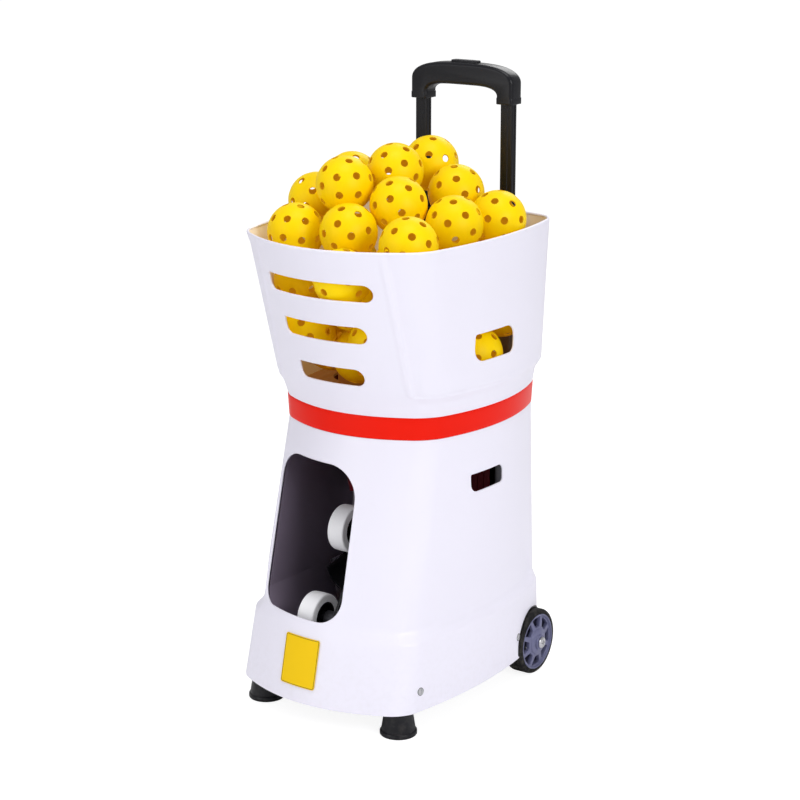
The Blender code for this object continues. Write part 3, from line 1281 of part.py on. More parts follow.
def build_rocker(middle):
    """Power rocker: a shallow wedge that tips about a pin across its middle."""
    half = ROCKER_SIZE[1] / 2
    crest = 0.0045
    outline = [(-0.004, -half + 0.001), (crest, -half + 0.001), (crest - 0.0012, 0), (crest, half - 0.001),
               (-0.004, half - 0.001)]
    width = ROCKER_SIZE[0] - 2 * GAP
    return plate("power_rocker", [outline], width, "YZ", at=(ROCKER_X, middle, ROCKER_Z), colour="band_red")


def build_label():
    """Plain yellow plate on the lower front, curved with the casing."""
    columns = 6
    rows = 2
    bm = bmesh.new()
    grid = []
    for row in range(rows + 1):
        z = LABEL_LOW + (LABEL_HIGH - LABEL_LOW) * row / rows
        station = station_at(BASE_STATIONS, z)
        line = []
        for column in range(columns + 1):
            x = LABEL_LEFT + (LABEL_RIGHT - LABEL_LEFT) * column / columns
            line.append(bm.verts.new((x, station.front_y(x) - LABEL_LIFT, z)))
        grid.append(line)
    for low, high in zip(grid, grid[1:]):
        for column in range(columns):
            bm.faces.new((low[column], low[column + 1], high[column + 1], high[column]))
    mesh = bpy.data.meshes.new("label_plate")
    bm.normal_update()
    bm.to_mesh(mesh)
    bm.free()
    label = add_object("label_plate", mesh, "label_yellow")
    wall = label.modifiers.new("wall", "SOLIDIFY")
    wall.thickness = LABEL_THICKNESS
    wall.offset = 1.0
    return label


ARCH_CUTTERS = arch_cutters()
build_lower_shell()
build_side_screws()
build_band()
build_hopper()
build_base()
build_wheels()
build_handle()
build_feed()
build_yaw_base()
build_head()
build_balls()
build_shroud()
build_power()
build_rear_panel()
build_label()
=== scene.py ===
# %% [markdown]
# # A pickleball machine, dressed
# The machine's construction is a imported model, loaded here as a fixed frame: every piece sits at its
# real place in metres, the front faces -Y and +Z is up. This script gives each surface its finish and
# remakes, finer, the pieces whose outside is seen. Nothing from the frame is moved.

# %% Load the frame
import json
import math

import bmesh
import bpy
import numpy as np
from mathutils import Matrix, Vector

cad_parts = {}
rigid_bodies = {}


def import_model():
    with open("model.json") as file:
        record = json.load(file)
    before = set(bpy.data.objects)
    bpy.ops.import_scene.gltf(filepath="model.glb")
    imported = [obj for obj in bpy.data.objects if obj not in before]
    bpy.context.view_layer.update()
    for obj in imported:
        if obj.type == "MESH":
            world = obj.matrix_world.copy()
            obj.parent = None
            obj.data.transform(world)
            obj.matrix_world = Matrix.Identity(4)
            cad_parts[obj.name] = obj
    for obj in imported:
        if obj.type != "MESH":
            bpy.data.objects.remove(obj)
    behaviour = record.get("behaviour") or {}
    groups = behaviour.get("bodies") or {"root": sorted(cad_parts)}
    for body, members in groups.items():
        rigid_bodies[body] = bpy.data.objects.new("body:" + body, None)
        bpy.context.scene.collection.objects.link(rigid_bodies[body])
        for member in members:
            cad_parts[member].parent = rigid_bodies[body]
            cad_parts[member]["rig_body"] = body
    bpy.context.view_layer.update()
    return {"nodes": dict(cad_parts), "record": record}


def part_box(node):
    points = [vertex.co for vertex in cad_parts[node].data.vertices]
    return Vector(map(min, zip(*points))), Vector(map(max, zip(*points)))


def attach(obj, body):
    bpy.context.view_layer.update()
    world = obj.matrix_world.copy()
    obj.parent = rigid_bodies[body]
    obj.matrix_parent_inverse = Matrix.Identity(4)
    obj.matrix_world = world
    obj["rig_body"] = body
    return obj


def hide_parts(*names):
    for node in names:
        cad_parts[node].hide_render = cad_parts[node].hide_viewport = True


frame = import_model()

# %% [markdown]
# A long lens from about 2.8 m away keeps the casing's edges nearly parallel, as in a catalogue picture.
# The camera stands to the right of the front and looks down a little, so the front, the right side and
# the heap of balls all show.

# %% The camera
CAMERA_PLACE = Vector((1.5202, -2.1810, 1.1150))
CAMERA_AIM = Vector((0.0, 0.0256, 0.3900))
CAMERA_LENS = 94.63

lens = bpy.data.cameras.new("camera")
lens.lens = CAMERA_LENS
camera = bpy.data.objects.new("camera", lens)
camera.location = CAMERA_PLACE
camera.rotation_euler = (CAMERA_AIM - CAMERA_PLACE).to_track_quat("-Z", "Y").to_euler()
bpy.context.scene.collection.objects.link(camera)
bpy.context.scene.camera = camera
bpy.context.scene.view_settings.view_transform = "Standard"
print("camera:", round((CAMERA_AIM - CAMERA_PLACE).length, 2), "m from what it looks at")

# %% [markdown]
# White plastic on a white ground needs soft light from more than one side, or its folds vanish. Two weak
# lamps face the front, a strong one stands far out at the right, and two more light the top and the back.
# Their strengths were found by trying them against the picture. The ground is pale by its own colour
# for the camera, and still darkens where the machine keeps the light off it.

# %% The floor, the world and the lamps
FLOOR_SIZE = 60.0
FLOOR_GLOW = 0.60
GLOW_STRENGTH = 1.48
SKY_LIGHT = 0.44
LAMPS = (
    # name, place, size, power
    ("key", (-1.3, -2.8, 2.0), 1.7, 15.5),
    ("low", (-0.8, -2.6, 0.45), 1.1, 7.0),
    ("fill", (3.0, -1.1, 1.7), 1.3, 42.0),
    ("top", (0.3, -0.3, 3.0), 1.2, 24.0),
    ("back", (-0.6, 2.4, 2.2), 1.4, 20.0),
)


def nodes_of(owner):
    """An empty node tree, with its nodes and links at hand."""
    owner.use_nodes = True
    tree = owner.node_tree
    tree.nodes.clear()
    return tree


def node(tree, kind, inputs=None, **settings):
    """Add a node, set its options, and fill or link its inputs."""
    made = tree.nodes.new(kind)
    for key, value in settings.items():
        setattr(made, key, value)
    for key, value in (inputs or {}).items():
        socket = made.inputs[key]
        if isinstance(value, bpy.types.NodeSocket):
            tree.links.new(value, socket)
        else:
            socket.default_value = value
    return made


def seen_directly(tree):
    """Mask that is 1 for camera and see-through rays, and 0 for rays that carry light."""
    path = node(tree, "ShaderNodeLightPath")
    return node(tree, "ShaderNodeMath", {0: path.outputs["Is Camera Ray"],
                                         1: path.outputs["Is Transmission Ray"]},
                operation="MAXIMUM").outputs[0]


world = bpy.data.worlds.new("studio")
bpy.context.scene.world = world
tree = nodes_of(world)
strength = node(tree, "ShaderNodeMapRange",
                {"Value": seen_directly(tree), "To Min": SKY_LIGHT, "To Max": 1.0})
sky = node(tree, "ShaderNodeBackground", {"Color": (1.0, 1.0, 1.0, 1.0), "Strength": strength.outputs[0]})
node(tree, "ShaderNodeOutputWorld", {"Surface": sky.outputs[0]})

bpy.ops.mesh.primitive_grid_add(x_subdivisions=2, y_subdivisions=2, size=FLOOR_SIZE)
floor = bpy.context.object
floor.name = "floor"
paint = bpy.data.materials.new("floor_paper")
tree = nodes_of(paint)
matt = node(tree, "ShaderNodeBsdfDiffuse", {"Color": (0.90, 0.90, 0.91, 1.0)})
glow = node(tree, "ShaderNodeEmission", {"Color": (1.0, 1.0, 1.0, 1.0), "Strength": GLOW_STRENGTH})
share = node(tree, "ShaderNodeMath", {0: seen_directly(tree), 1: FLOOR_GLOW}, operation="MULTIPLY")
paper = node(tree, "ShaderNodeMixShader", {0: share.outputs[0], 1: matt.outputs[0], 2: glow.outputs[0]})
node(tree, "ShaderNodeOutputMaterial", {"Surface": paper.outputs[0]})
floor.data.materials.append(paint)

for lamp_name, place, size, power in LAMPS:
    lamp = bpy.data.lights.new(lamp_name, "AREA")
    lamp.size = size
    lamp.energy = power
    holder = bpy.data.objects.new(lamp_name, lamp)
    holder.location = place
    holder.rotation_euler = (CAMERA_AIM - Vector(place)).to_track_quat("-Z", "Y").to_euler()
    bpy.context.scene.collection.objects.link(holder)
print("lamps:", len(LAMPS), "with", round(sum(power for *_, power in LAMPS), 1), "W in all")

# %% [markdown]
# Nearly everything here is moulded plastic, and moulded plastic is never one flat colour: the tool
# leaves a fine grain, the gloss wanders a little where hands and cloths have been, and dust settles
# near the ground. One shader group makes all of that from Object coordinates and each material sets
# how much of it shows. Metal gets a second group, with fine lines left by turning or brushing.

# %% Shared shader groups
DUST_COLOUR = (0.42, 0.38, 0.32, 1.0)
DUST_HEIGHT = 0.16


def shader_group(name, inputs, outputs):
    """A shader node group with the named sockets; returns it with its input node."""
    group = bpy.data.node_groups.new(name, "ShaderNodeTree")
    for socket, kind, value in inputs:
        made = group.interface.new_socket(socket, in_out="INPUT", socket_type=kind)
        made.default_value = value
    for socket, kind in outputs:
        group.interface.new_socket(socket, in_out="OUTPUT", socket_type=kind)
    return group, group.nodes.new("NodeGroupInput")


def mixed(tree, share, first, second, blend="MIX"):
    """Colour mix of two colours or sockets."""
    mix = node(tree, "ShaderNodeMix", data_type="RGBA", blend_type=blend)
    for socket, value in ((mix.inputs[0], share), (mix.inputs[6], first), (mix.inputs[7], second)):
        if isinstance(value, bpy.types.NodeSocket):
            tree.links.new(value, socket)
        else:
            socket.default_value = value
    return mix.outputs[2]


def reckoned(tree, operation, first, second=0.0, third=0.0):
    """Output of a Math node."""
    return node(tree, "ShaderNodeMath", {0: first, 1: second, 2: third}, operation=operation).outputs[0]


def moulded_group():
    """Colour, roughness and normal of moulded plastic, with grain, wandering gloss and dust."""
    colour, number = "NodeSocketColor", "NodeSocketFloat"
    tree, given = shader_group(
        "moulded_plastic",
        (("Colour", colour, (0.8, 0.8, 0.8, 1.0)), ("Roughness", number, 0.4),
         ("Grain Scale", number, 900.0), ("Grain Depth", number, 0.00003),
         ("Gloss Wander", number, 0.10), ("Shade Wander", number, 0.04), ("Dust", number, 0.3)),
        (("Colour", colour), ("Roughness", number), ("Normal", "NodeSocketVector")))
    place = node(tree, "ShaderNodeTexCoord").outputs["Object"]
    grain = node(tree, "ShaderNodeTexNoise",
                 {"Vector": place, "Scale": given.outputs["Grain Scale"], "Detail": 2.0})
    broad = node(tree, "ShaderNodeTexNoise", {"Vector": place, "Scale": 9.0, "Detail": 4.0})
    specks = node(tree, "ShaderNodeTexNoise", {"Vector": place, "Scale": 160.0, "Detail": 5.0})
    swing = reckoned(tree, "SUBTRACT", broad.outputs["Fac"], 0.5)
    rough = reckoned(tree, "MULTIPLY_ADD", swing, given.outputs["Gloss Wander"], given.outputs["Roughness"])
    shade = reckoned(tree, "MULTIPLY_ADD", swing, given.outputs["Shade Wander"], 1.0)
    tinted = mixed(tree, 1.0, given.outputs["Colour"], shade, "MULTIPLY")
    height = node(tree, "ShaderNodeSeparateXYZ", {0: place}).outputs["Z"]
    low = node(tree, "ShaderNodeMapRange", {"Value": height, "From Min": DUST_HEIGHT, "From Max": 0.0})
    speckled = node(tree, "ShaderNodeMapRange",
                    {"Value": specks.outputs["Fac"], "From Min": 0.45, "From Max": 0.8})
    settled = reckoned(tree, "MULTIPLY", low.outputs[0], speckled.outputs[0])
    dust = reckoned(tree, "MULTIPLY", settled, given.outputs["Dust"])
    dusty = mixed(tree, dust, tinted, DUST_COLOUR)
    rough = reckoned(tree, "ADD", rough, reckoned(tree, "MULTIPLY", dust, 0.4))
    bump = node(tree, "ShaderNodeBump", {
        "Height": grain.outputs["Fac"], "Distance": given.outputs["Grain Depth"], "Strength": 1.0})
    node(tree, "NodeGroupOutput", {"Colour": dusty, "Roughness": rough, "Normal": bump.outputs[0]})
    return tree


def turned_group():
    """Colour, roughness and normal of turned or brushed metal."""
    colour, number = "NodeSocketColor", "NodeSocketFloat"
    tree, given = shader_group(
        "turned_metal",
        (("Colour", colour, (0.6, 0.6, 0.6, 1.0)), ("Roughness", number, 0.3), ("Line Scale", number, 700.0)),
        (("Colour", colour), ("Roughness", number), ("Normal", "NodeSocketVector")))
    place = node(tree, "ShaderNodeTexCoord").outputs["Object"]
    stretched = node(tree, "ShaderNodeMapping", {"Vector": place, "Scale": (1.0, 0.06, 1.0)})
    lines = node(tree, "ShaderNodeTexNoise", {
        "Vector": stretched.outputs[0], "Scale": given.outputs["Line Scale"], "Detail": 3.0})
    stains = node(tree, "ShaderNodeTexNoise", {"Vector": place, "Scale": 60.0, "Detail": 5.0})
    rough = reckoned(tree, "MULTIPLY_ADD", lines.outputs["Fac"], 0.25, given.outputs["Roughness"])
    shade = node(tree, "ShaderNodeMapRange", {"Value": stains.outputs["Fac"], "To Min": 0.75, "To Max": 1.1})
    tinted = mixed(tree, 1.0, given.outputs["Colour"], shade.outputs[0], "MULTIPLY")
    bump = node(tree, "ShaderNodeBump",
                {"Height": lines.outputs["Fac"], "Distance": 0.00004, "Strength": 0.6})
    node(tree, "NodeGroupOutput", {"Colour": tinted, "Roughness": rough, "Normal": bump.outputs[0]})
    return tree


MOULDED = moulded_group()
TURNED = turned_group()
print("shader groups:", MOULDED.name, TURNED.name)

# %% [markdown]
# Each finish below is one material: the group gives what changes over the surface, and the Principled
# shader keeps the plain numbers, such as the clear gloss on the casing. A few finishes also give off a
# little light: the treads, the hopper's lining and floor, and the insides of the balls. It stands in for
# light thrown back and forth between pale and yellow plastic, and its strength was set against the picture.

# %% Finishes
FINISHES = {
    # name: (group, colour, roughness, group inputs, shader inputs)
    "white": ("M", (0.87, 0.85, 0.96), 0.36, {"Grain Depth": 0.000012, "Shade Wander": 0.02, "Dust": 0.10},
              {"Coat Weight": 0.10, "Coat Roughness": 0.2, "Specular IOR Level": 0.35}),
    "band_red": ("M", (0.87, 0.011, 0.002), 0.30, {"Grain Depth": 0.00001, "Shade Wander": 0.05, "Dust": 0.0},
                 {"Specular IOR Level": 0.10}),
    "black": ("M", (0.007, 0.007, 0.010), 0.32, {"Grain Scale": 1400.0, "Grain Depth": 0.00003, "Dust": 0.05},
              {"Specular IOR Level": 0.28}),
    "tyre_black": ("M", (0.007, 0.007, 0.008), 0.70,
                   {"Grain Scale": 500.0, "Grain Depth": 0.00010, "Dust": 0.20},
                   {"Specular IOR Level": 0.20}),
    "wheel_grey": ("M", (0.140, 0.145, 0.260), 0.38, {"Grain Depth": 0.00003, "Dust": 0.10},
                   {"Specular IOR Level": 0.35}),
    # painted shade: a darker copy of the wheel grey, for the shadow in the rim's pockets
    "wheel_navy": ("M", (0.020, 0.021, 0.060), 0.45, {"Grain Depth": 0.00003, "Dust": 0.10},
                   {"Specular IOR Level": 0.15}),
    "duct_grey": ("M", (0.170, 0.138, 0.190), 0.50,
                  {"Grain Scale": 600.0, "Grain Depth": 0.00004, "Dust": 0.1},
                  {"Specular IOR Level": 0.25}),
    "maroon": ("M", (0.160, 0.008, 0.016), 0.38, {"Grain Depth": 0.00003, "Dust": 0.0},
               {"Specular IOR Level": 0.2}),
    "tread_white": ("M", (0.97, 0.97, 1.0), 0.50, {"Grain Scale": 350.0, "Grain Depth": 0.00005,
                                                    "Shade Wander": 0.04, "Dust": 0.0},
                    {"Emission Color": (0.95, 0.95, 1.0, 1.0), "Emission Strength": 0.06}),
    "steel": ("T", (0.62, 0.62, 0.64), 0.20, {}, {"Metallic": 1.0}),
    "motor_grey": ("T", (0.16, 0.16, 0.18), 0.30, {"Line Scale": 300.0}, {"Metallic": 0.85}),
    "gear_white": ("M", (0.74, 0.72, 0.66), 0.45, {"Grain Depth": 0.00002, "Shade Wander": 0.08}, {}),
    "board_green": ("M", (0.008, 0.070, 0.028), 0.35, {"Grain Scale": 220.0, "Shade Wander": 0.25},
                    {"Specular IOR Level": 0.3}),
    "battery_blue": ("M", (0.020, 0.050, 0.200), 0.28, {"Grain Scale": 120.0, "Grain Depth": 0.00012}, {}),
    "display_glass": ("M", (0.008, 0.010, 0.012), 0.06, {"Grain Depth": 0.0, "Gloss Wander": 0.03}, {}),
    "label_yellow": ("M", (0.93, 0.60, 0.006), 0.40,
                     {"Grain Depth": 0.00001, "Shade Wander": 0.03, "Dust": 0.0},
                     {"Specular IOR Level": 0.10}),
    "ball_yellow": ("M", (1.0, 0.70, 0.000), 0.42, {"Grain Scale": 300.0, "Grain Depth": 0.00003, "Dust": 0.0,
                                                     "Shade Wander": 0.05},
                    {"Specular IOR Level": 0.12}),
    "figure_grey": ("M", (0.030, 0.034, 0.032), 0.25, {"Grain Depth": 0.0, "Dust": 0.0}, {}),
    "floor_amber": ("M", (0.50, 0.24, 0.07), 0.45, {"Grain Depth": 0.00001, "Shade Wander": 0.1, "Dust": 0.0},
                    {"Specular IOR Level": 0.15, "Emission Color": (1.0, 0.45, 0.10, 1.0),
                     "Emission Strength": 0.05}),
    # painted light: the hopper's inner faces, warmer than the casing and glowing, stand in for light thrown
    # by the balls
    "hopper_lining": ("M", (0.85, 0.80, 0.74), 0.45,
                      {"Grain Depth": 0.00001, "Shade Wander": 0.02, "Dust": 0.0},
                      {"Specular IOR Level": 0.20, "Emission Color": (1.0, 0.66, 0.30, 1.0),
                       "Emission Strength": 0.10}),
    # painted shade and light: the inside is the same yellow plastic; the darker orange stands for shade in
    # the hollow, the glow for light thrown about in it
    "ball_inside": ("M", (0.70, 0.42, 0.010), 0.60, {"Grain Depth": 0.0, "Dust": 0.0},
                    {"Specular IOR Level": 0.0, "Emission Color": (1.0, 0.55, 0.02, 1.0),
                     "Emission Strength": 0.13}),
}


MADE = {}


def finish(name):
    """Material of a named finish; made once."""
    if name in MADE:
        return MADE[name]
    group, colour, roughness, skin, shader = FINISHES[name]
    material = bpy.data.materials.new("finish_" + name)
    MADE[name] = material
    tree = nodes_of(material)
    surface = node(tree, "ShaderNodeGroup", node_tree=MOULDED if group == "M" else TURNED)
    surface.inputs["Colour"].default_value = (*colour, 1.0)
    surface.inputs["Roughness"].default_value = roughness
    for key, value in skin.items():
        surface.inputs[key].default_value = value
    principled = node(tree, "ShaderNodeBsdfPrincipled", {
        "Base Color": surface.outputs["Colour"], "Roughness": surface.outputs["Roughness"],
        "Normal": surface.outputs["Normal"], **shader})
    node(tree, "ShaderNodeOutputMaterial", {"Surface": principled.outputs[0]})
    return material


SLOT_OF = {part["node"]: part["material_slot"] for part in frame["record"]["subparts"]}
for name, cad in frame["nodes"].items():
    cad.data.materials.clear()
    cad.data.materials.append(finish(SLOT_OF[name]))
print("finishes:", len(MADE))

# %% [markdown]
# A few small tools come up again and again: putting a finished mesh on its body, turning modifiers
# into plain mesh, drawing outlines with round corners, pushing or joining them into closed shapes, and
# cutting one shape out of another. A finished piece has its place in its mesh, and its object stays at
# the origin.

# %% Small tools
SHARP = math.radians(35)
TURN = 2 * math.pi
SIDES = ((1, "right"), (-1, "left"))


def mesh_object(name, bm, finish_name):
    """Object with a bmesh's faces, one finish, and smooth faces between sharp edges."""
    mesh = bpy.data.meshes.new(name)
    bm.to_mesh(mesh)
    bm.free()
    mesh.shade_smooth()
    mesh.set_sharp_from_angle(angle=SHARP)
    piece = bpy.data.objects.new(name, mesh)
    bpy.context.scene.collection.objects.link(piece)
    if finish_name:
        mesh.materials.append(finish(finish_name))
    return piece


def settle(piece):
    """Turn a piece's modifiers and place into plain mesh."""
    bpy.context.view_layer.update()
    made = bpy.data.meshes.new_from_object(piece.evaluated_get(bpy.context.evaluated_depsgraph_get()))
    made.transform(piece.matrix_world)
    piece.modifiers.clear()
    piece.matrix_world = Matrix.Identity(4)
    if piece.type != "MESH":
        name, materials = piece.name, list(piece.data.materials)
        bpy.data.objects.remove(piece, do_unlink=True)
        piece = bpy.data.objects.new(name, made)
        bpy.context.scene.collection.objects.link(piece)
        if not made.materials:
            for material in materials:
                made.materials.append(material)
    else:
        piece.data = made
    piece.data.name = piece.name
    piece.data.shade_smooth()
    piece.data.set_sharp_from_angle(angle=SHARP)
    return piece


def put(piece, body, slot_name, *stands_for):
    """Let a finished piece ride on a body and stand for CAD pieces; the slot name it takes is not used."""
    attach(piece, body)
    if stands_for:
        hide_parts(*stands_for)
    return piece


def discard(*things):
    """Remove helper objects."""
    for thing in things:
        bpy.data.objects.remove(thing, do_unlink=True)


def arc(centre_u, centre_v, radius, start, end, steps):
    """Points on an arc, both ends included, angles in degrees."""
    return [(centre_u + radius * math.cos(math.radians(start + (end - start) * step / steps)),
             centre_v + radius * math.sin(math.radians(start + (end - start) * step / steps)))
            for step in range(steps + 1)]


def circle(centre_u, centre_v, radius, steps):
    """Points around a full circle."""
    return [(centre_u + radius * math.cos(TURN * step / steps),
             centre_v + radius * math.sin(TURN * step / steps)) for step in range(steps)]


def rounded(low_u, high_u, low_v, high_v, radii, steps=8, side_steps=1):
    """Rectangle with a radius for each corner: low right, high right, high left, low left."""
    if not isinstance(radii, tuple):
        radii = (radii,) * 4
    corners = ((high_u, low_v, 1, -1, -90), (high_u, high_v, 1, 1, 0),
               (low_u, high_v, -1, 1, 90), (low_u, low_v, -1, -1, 180))
    points = []
    for (u, v, sign_u, sign_v, start), radius in zip(corners, radii):
        points += arc(u - sign_u * radius, v - sign_v * radius, radius, start, start + 90, steps)
    full = []
    for first, second in zip(points, points[1:] + points[:1]):
        count = side_steps if math.dist(first, second) > 0.004 else 1
        full += [(first[0] + (second[0] - first[0]) * step / count,
                  first[1] + (second[1] - first[1]) * step / count) for step in range(count)]
    return full


def block(centre_u, centre_v, half_u, half_v, radius, steps):
    """Rounded rectangle given by its middle and half sizes."""
    return rounded(centre_u - half_u, centre_u + half_u, centre_v - half_v, centre_v + half_v, radius, steps)


def prism(bm, outline, low, high, place):
    """Closed prism over an outline; place turns (u, v, w) into a point."""
    rings = [[bm.verts.new(place(u, v, w)) for u, v in outline] for w in (low, high)]
    faces = [bm.faces.new(rings[0]), bm.faces.new(rings[1])]
    for index in range(len(outline)):
        after = (index + 1) % len(outline)
        faces.append(bm.faces.new((rings[0][index], rings[0][after], rings[1][after], rings[1][index])))
    bmesh.ops.recalc_face_normals(bm, faces=faces)


def joined(bm, rows, looped=False, capped=False):
    """Faces between neighbouring rings of vertices; looped joins the last ring to the first."""
    faces = []
    for row, after in zip(rows, rows[1:] + rows[:1] if looped else rows[1:]):
        for index in range(len(row)):
            other = (index + 1) % len(row)
            faces.append(bm.faces.new((row[index], row[other], after[other], after[index])))
    if capped:
        faces += [bm.faces.new(rows[0]), bm.faces.new(rows[-1])]
    return faces


def along_x(u, v, w):
    """Outline in Y and Z, pushed along X."""
    return (w, u, v)


def along_y(u, v, w):
    """Outline in X and Z, pushed along Y."""
    return (u, w, v)


def along_z(u, v, w):
    """Outline in X and Y, pushed along Z."""
    return (u, v, w)


def across(side, near, far):
    """Low and high X of a stretch on one side of the machine."""
    return sorted((side * near, side * far))


def pushed(name, outline, low, high, place, finish_name=None):
    """Object that is one prism."""
    bm = bmesh.new()
    prism(bm, outline, low, high, place)
    return mesh_object(name, bm, finish_name)


def middle_of(name):
    """Middle of a frame piece's box."""
    return sum(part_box(name), Vector()) / 2


def bevelled(piece, width, segments, angle=30):
    """Give a piece a bevel on edges sharper than an angle in degrees, and return the modifier."""
    soft = piece.modifiers.new("soft", "BEVEL")
    soft.width, soft.segments, soft.angle_limit = width, segments, math.radians(angle)
    return soft


def cut_with(piece, cutter):
    """Give a piece a Boolean that takes a cutter's shape away, and return the modifier."""
    cut = piece.modifiers.new("cut", "BOOLEAN")
    cut.operation, cut.solver, cut.object = "DIFFERENCE", "EXACT", cutter
    return cut


def cut_away(piece, bm):
    """Cut the closed shapes of a bmesh out of a piece."""
    cutter = mesh_object("cutter", bm, None)
    cut_with(piece, cutter)
    piece = settle(piece)
    discard(cutter)
    return piece


print("edges sharper than", round(math.degrees(SHARP)), "degrees stay sharp")

# %% [markdown]
# The casing swells from a narrow waist to a wide skirt, and again to the hopper's rim. Each level is a
# rectangle with round corners whose front and sides bow outwards, and the skin runs straight from
# level to level. On the real moulding the folds between levels are tight at the sides and melt away
# across the front, so every ring of the mesh is an average over a few heights, more of them in front.
# Small reliefs are then added to the rings: a step above the skirt, and on the hopper a ledge, a
# slanting ridge at each front corner and side panels sunk behind it.

# %% The casing's levels
WALL = 0.003
REAR_Y = 0.1773
REAR_BOW = 0.0160
REAR_BOW_POWER = 6
CORNER_RADIUS = 0.018
# height, half width, front corner, bow of the front, bow of the sides
HEM = (0.0350, 0.1310, 0.1533, 0.040, 0.021)
SKIRT = (0.1230, 0.1284, 0.1325, 0.040, 0.021)
TRUNK = (0.1360, 0.1212, 0.1260, 0.041, 0.022)
WAIST = (0.3757, 0.1130, 0.0714, 0.041, 0.027)
COLLAR = (0.4053, 0.1149, 0.0717, 0.041, 0.027)
NECK = (0.4243, 0.1190, 0.0765, 0.043, 0.025)
PANEL = (0.4383, 0.1290, 0.0795, 0.045, 0.022)
RIM = (0.6250, 0.1385, 0.1235, 0.057, 0.019)
LOWER = np.array((HEM, SKIRT, TRUNK, WAIST))
HOPPER = np.array((COLLAR, NECK, PANEL, RIM))
SIDE_STEPS = 44
FRONT_STEPS = 90
CORNER_STEPS = 10
SIDE_FOLD = 0.0018
FRONT_FOLD = 0.009
FRONT_MELTS = (0.080, 0.112)
CREASE_RIM_X = 0.0955
CREASE_FOOT_X = 0.0990
CREASE_HEIGHT = 0.0016
CREASE_WIDTH = 0.0030
CREASE_BACK_START = 0.030
CREASE_BACK_FADE = 0.110
PANEL_DEPTH = 0.0018  # no more, or the wall reaches the balls
LEDGE_Z = 0.4330
LEDGE_RISE = 0.0040
RIM_FADE = 0.016
PANEL_START, PANEL_FADE = 0.5, 1.6  # in ridge widths behind the ridge
SKIRT_STEP = 0.0022
SKIRT_STEEP = 1.6
SKIRT_FADE = 0.070
SKIRT_SIDE_X, SKIRT_SIDE_FADE = 0.1080, 0.0080
SKIRT_REAR_GAP = 0.03
FRONT_OF_Y, BESIDE_X = -0.02, 0.09  # where the front and the right side of a ring begin
RINGS = {}


def level_at(levels, height):
    """Level of a casing at any height, carried straight on past its ends."""
    index = int(np.clip(np.searchsorted(levels[:, 0], height) - 1, 0, len(levels) - 2))
    low, high = levels[index], levels[index + 1]
    return low + (high - low) * (height - low[0]) / (high[0] - low[0])


def plain_ring(levels, height):
    """Outline of a casing at a height, anticlockwise from above, as an array of (x, y)."""
    half_width, front, front_bow, side_bow = level_at(levels, height)[1:]
    half_depth = (REAR_Y + front) / 2
    middle = (REAR_Y - front) / 2
    points = []
    sides = ((1, -1, -90, SIDE_STEPS), (1, 1, 0, FRONT_STEPS),
             (-1, 1, 90, SIDE_STEPS), (-1, -1, 180, FRONT_STEPS))
    for sign_x, sign_y, start, steps in sides:
        corner = arc(sign_x * (half_width - CORNER_RADIUS), sign_y * (half_depth - CORNER_RADIUS),
                     CORNER_RADIUS, start, start + 90, CORNER_STEPS)
        points += corner
        end = np.array(corner[-1])
        far = end * ((1, -1) if start in (-90, 90) else (-1, 1))
        shares = np.arange(1, steps) / steps
        if steps == FRONT_STEPS:
            # closer together near the corners
            shares = 0.4 * shares + 0.3 * (1 - np.cos(np.pi * shares))
        points += [tuple(end + (far - end) * share) for share in shares]
    x, y = np.array(points).T
    bowed_x = x + np.sign(x) * side_bow * (1 - (y / half_depth) ** 2)
    front_y = y - front_bow * (1 - (x / half_width) ** 2)
    rear_y = y + REAR_BOW * (1 - np.abs(x / half_width) ** REAR_BOW_POWER)
    return np.stack((bowed_x, np.where(y < 0, front_y, rear_y) + middle), axis=1)


def ring(levels, height):
    """Outline with its folds rounded: tight at the sides, wide in front. Kept, since many ask for it."""
    key = (id(levels), round(float(height), 6))
    if key not in RINGS:
        RINGS[key] = worked_ring(levels, height)
    return RINGS[key]


def smooth_step(value):
    """0 below 0, 1 above 1, and a soft rise between."""
    value = np.clip(value, 0, 1)
    return value * value * (3 - 2 * value)


def averaged(levels, height, reach, count):
    """Mean of the plain outlines at heights up to a reach above and below."""
    return np.mean([plain_ring(levels, height + reach * step / count) for step in range(-count, count + 1)],
                   axis=0)


def worked_ring(levels, height):
    """Outline worked out afresh for one height."""
    tight = averaged(levels, height, SIDE_FOLD, 2)
    wide = averaged(levels, height, FRONT_FOLD, 3)
    start, end = FRONT_MELTS
    melt = smooth_step((end - np.abs(tight[:, 0])) / (end - start)) * (tight[:, 1] < 0)
    points = tight + (wide - tight) * melt[:, None]
    if levels is HOPPER and height > LEDGE_Z:
        points = points + crease(points, height)
    if levels is LOWER and height > SKIRT[0]:
        points = points + skirt_step(points, height)
    return points


def outward_of(points):
    """Unit directions that point out of a ring, one for each of its points."""
    along = np.roll(points, -1, axis=0) - np.roll(points, 1, axis=0)
    outward = np.stack((along[:, 1], -along[:, 0]), axis=1)
    return outward / np.linalg.norm(outward, axis=1)[:, None]


def crease(points, height):
    """Side panels sunk behind a slanting ridge at each front corner, with a ledge along their foot."""
    rise = (height - PANEL[0]) / (RIM[0] - PANEL[0])
    line = CREASE_FOOT_X + (CREASE_RIM_X - CREASE_FOOT_X) * rise
    beyond = np.where(points[:, 1] < 0, np.abs(points[:, 0]) - line, CREASE_WIDTH * 4)
    ridge = CREASE_HEIGHT * np.exp(-(beyond / CREASE_WIDTH) ** 2)
    sunk = PANEL_DEPTH * smooth_step((beyond - CREASE_WIDTH * PANEL_START) / (CREASE_WIDTH * PANEL_FADE))
    sunk = sunk * (1 - smooth_step((points[:, 1] - CREASE_BACK_START) / CREASE_BACK_FADE))
    foot = float(smooth_step((height - LEDGE_Z) / LEDGE_RISE))
    below_rim = float(smooth_step((RIM[0] - height) / RIM_FADE))
    return outward_of(points) * ((ridge - sunk) * foot * below_rim)[:, None]


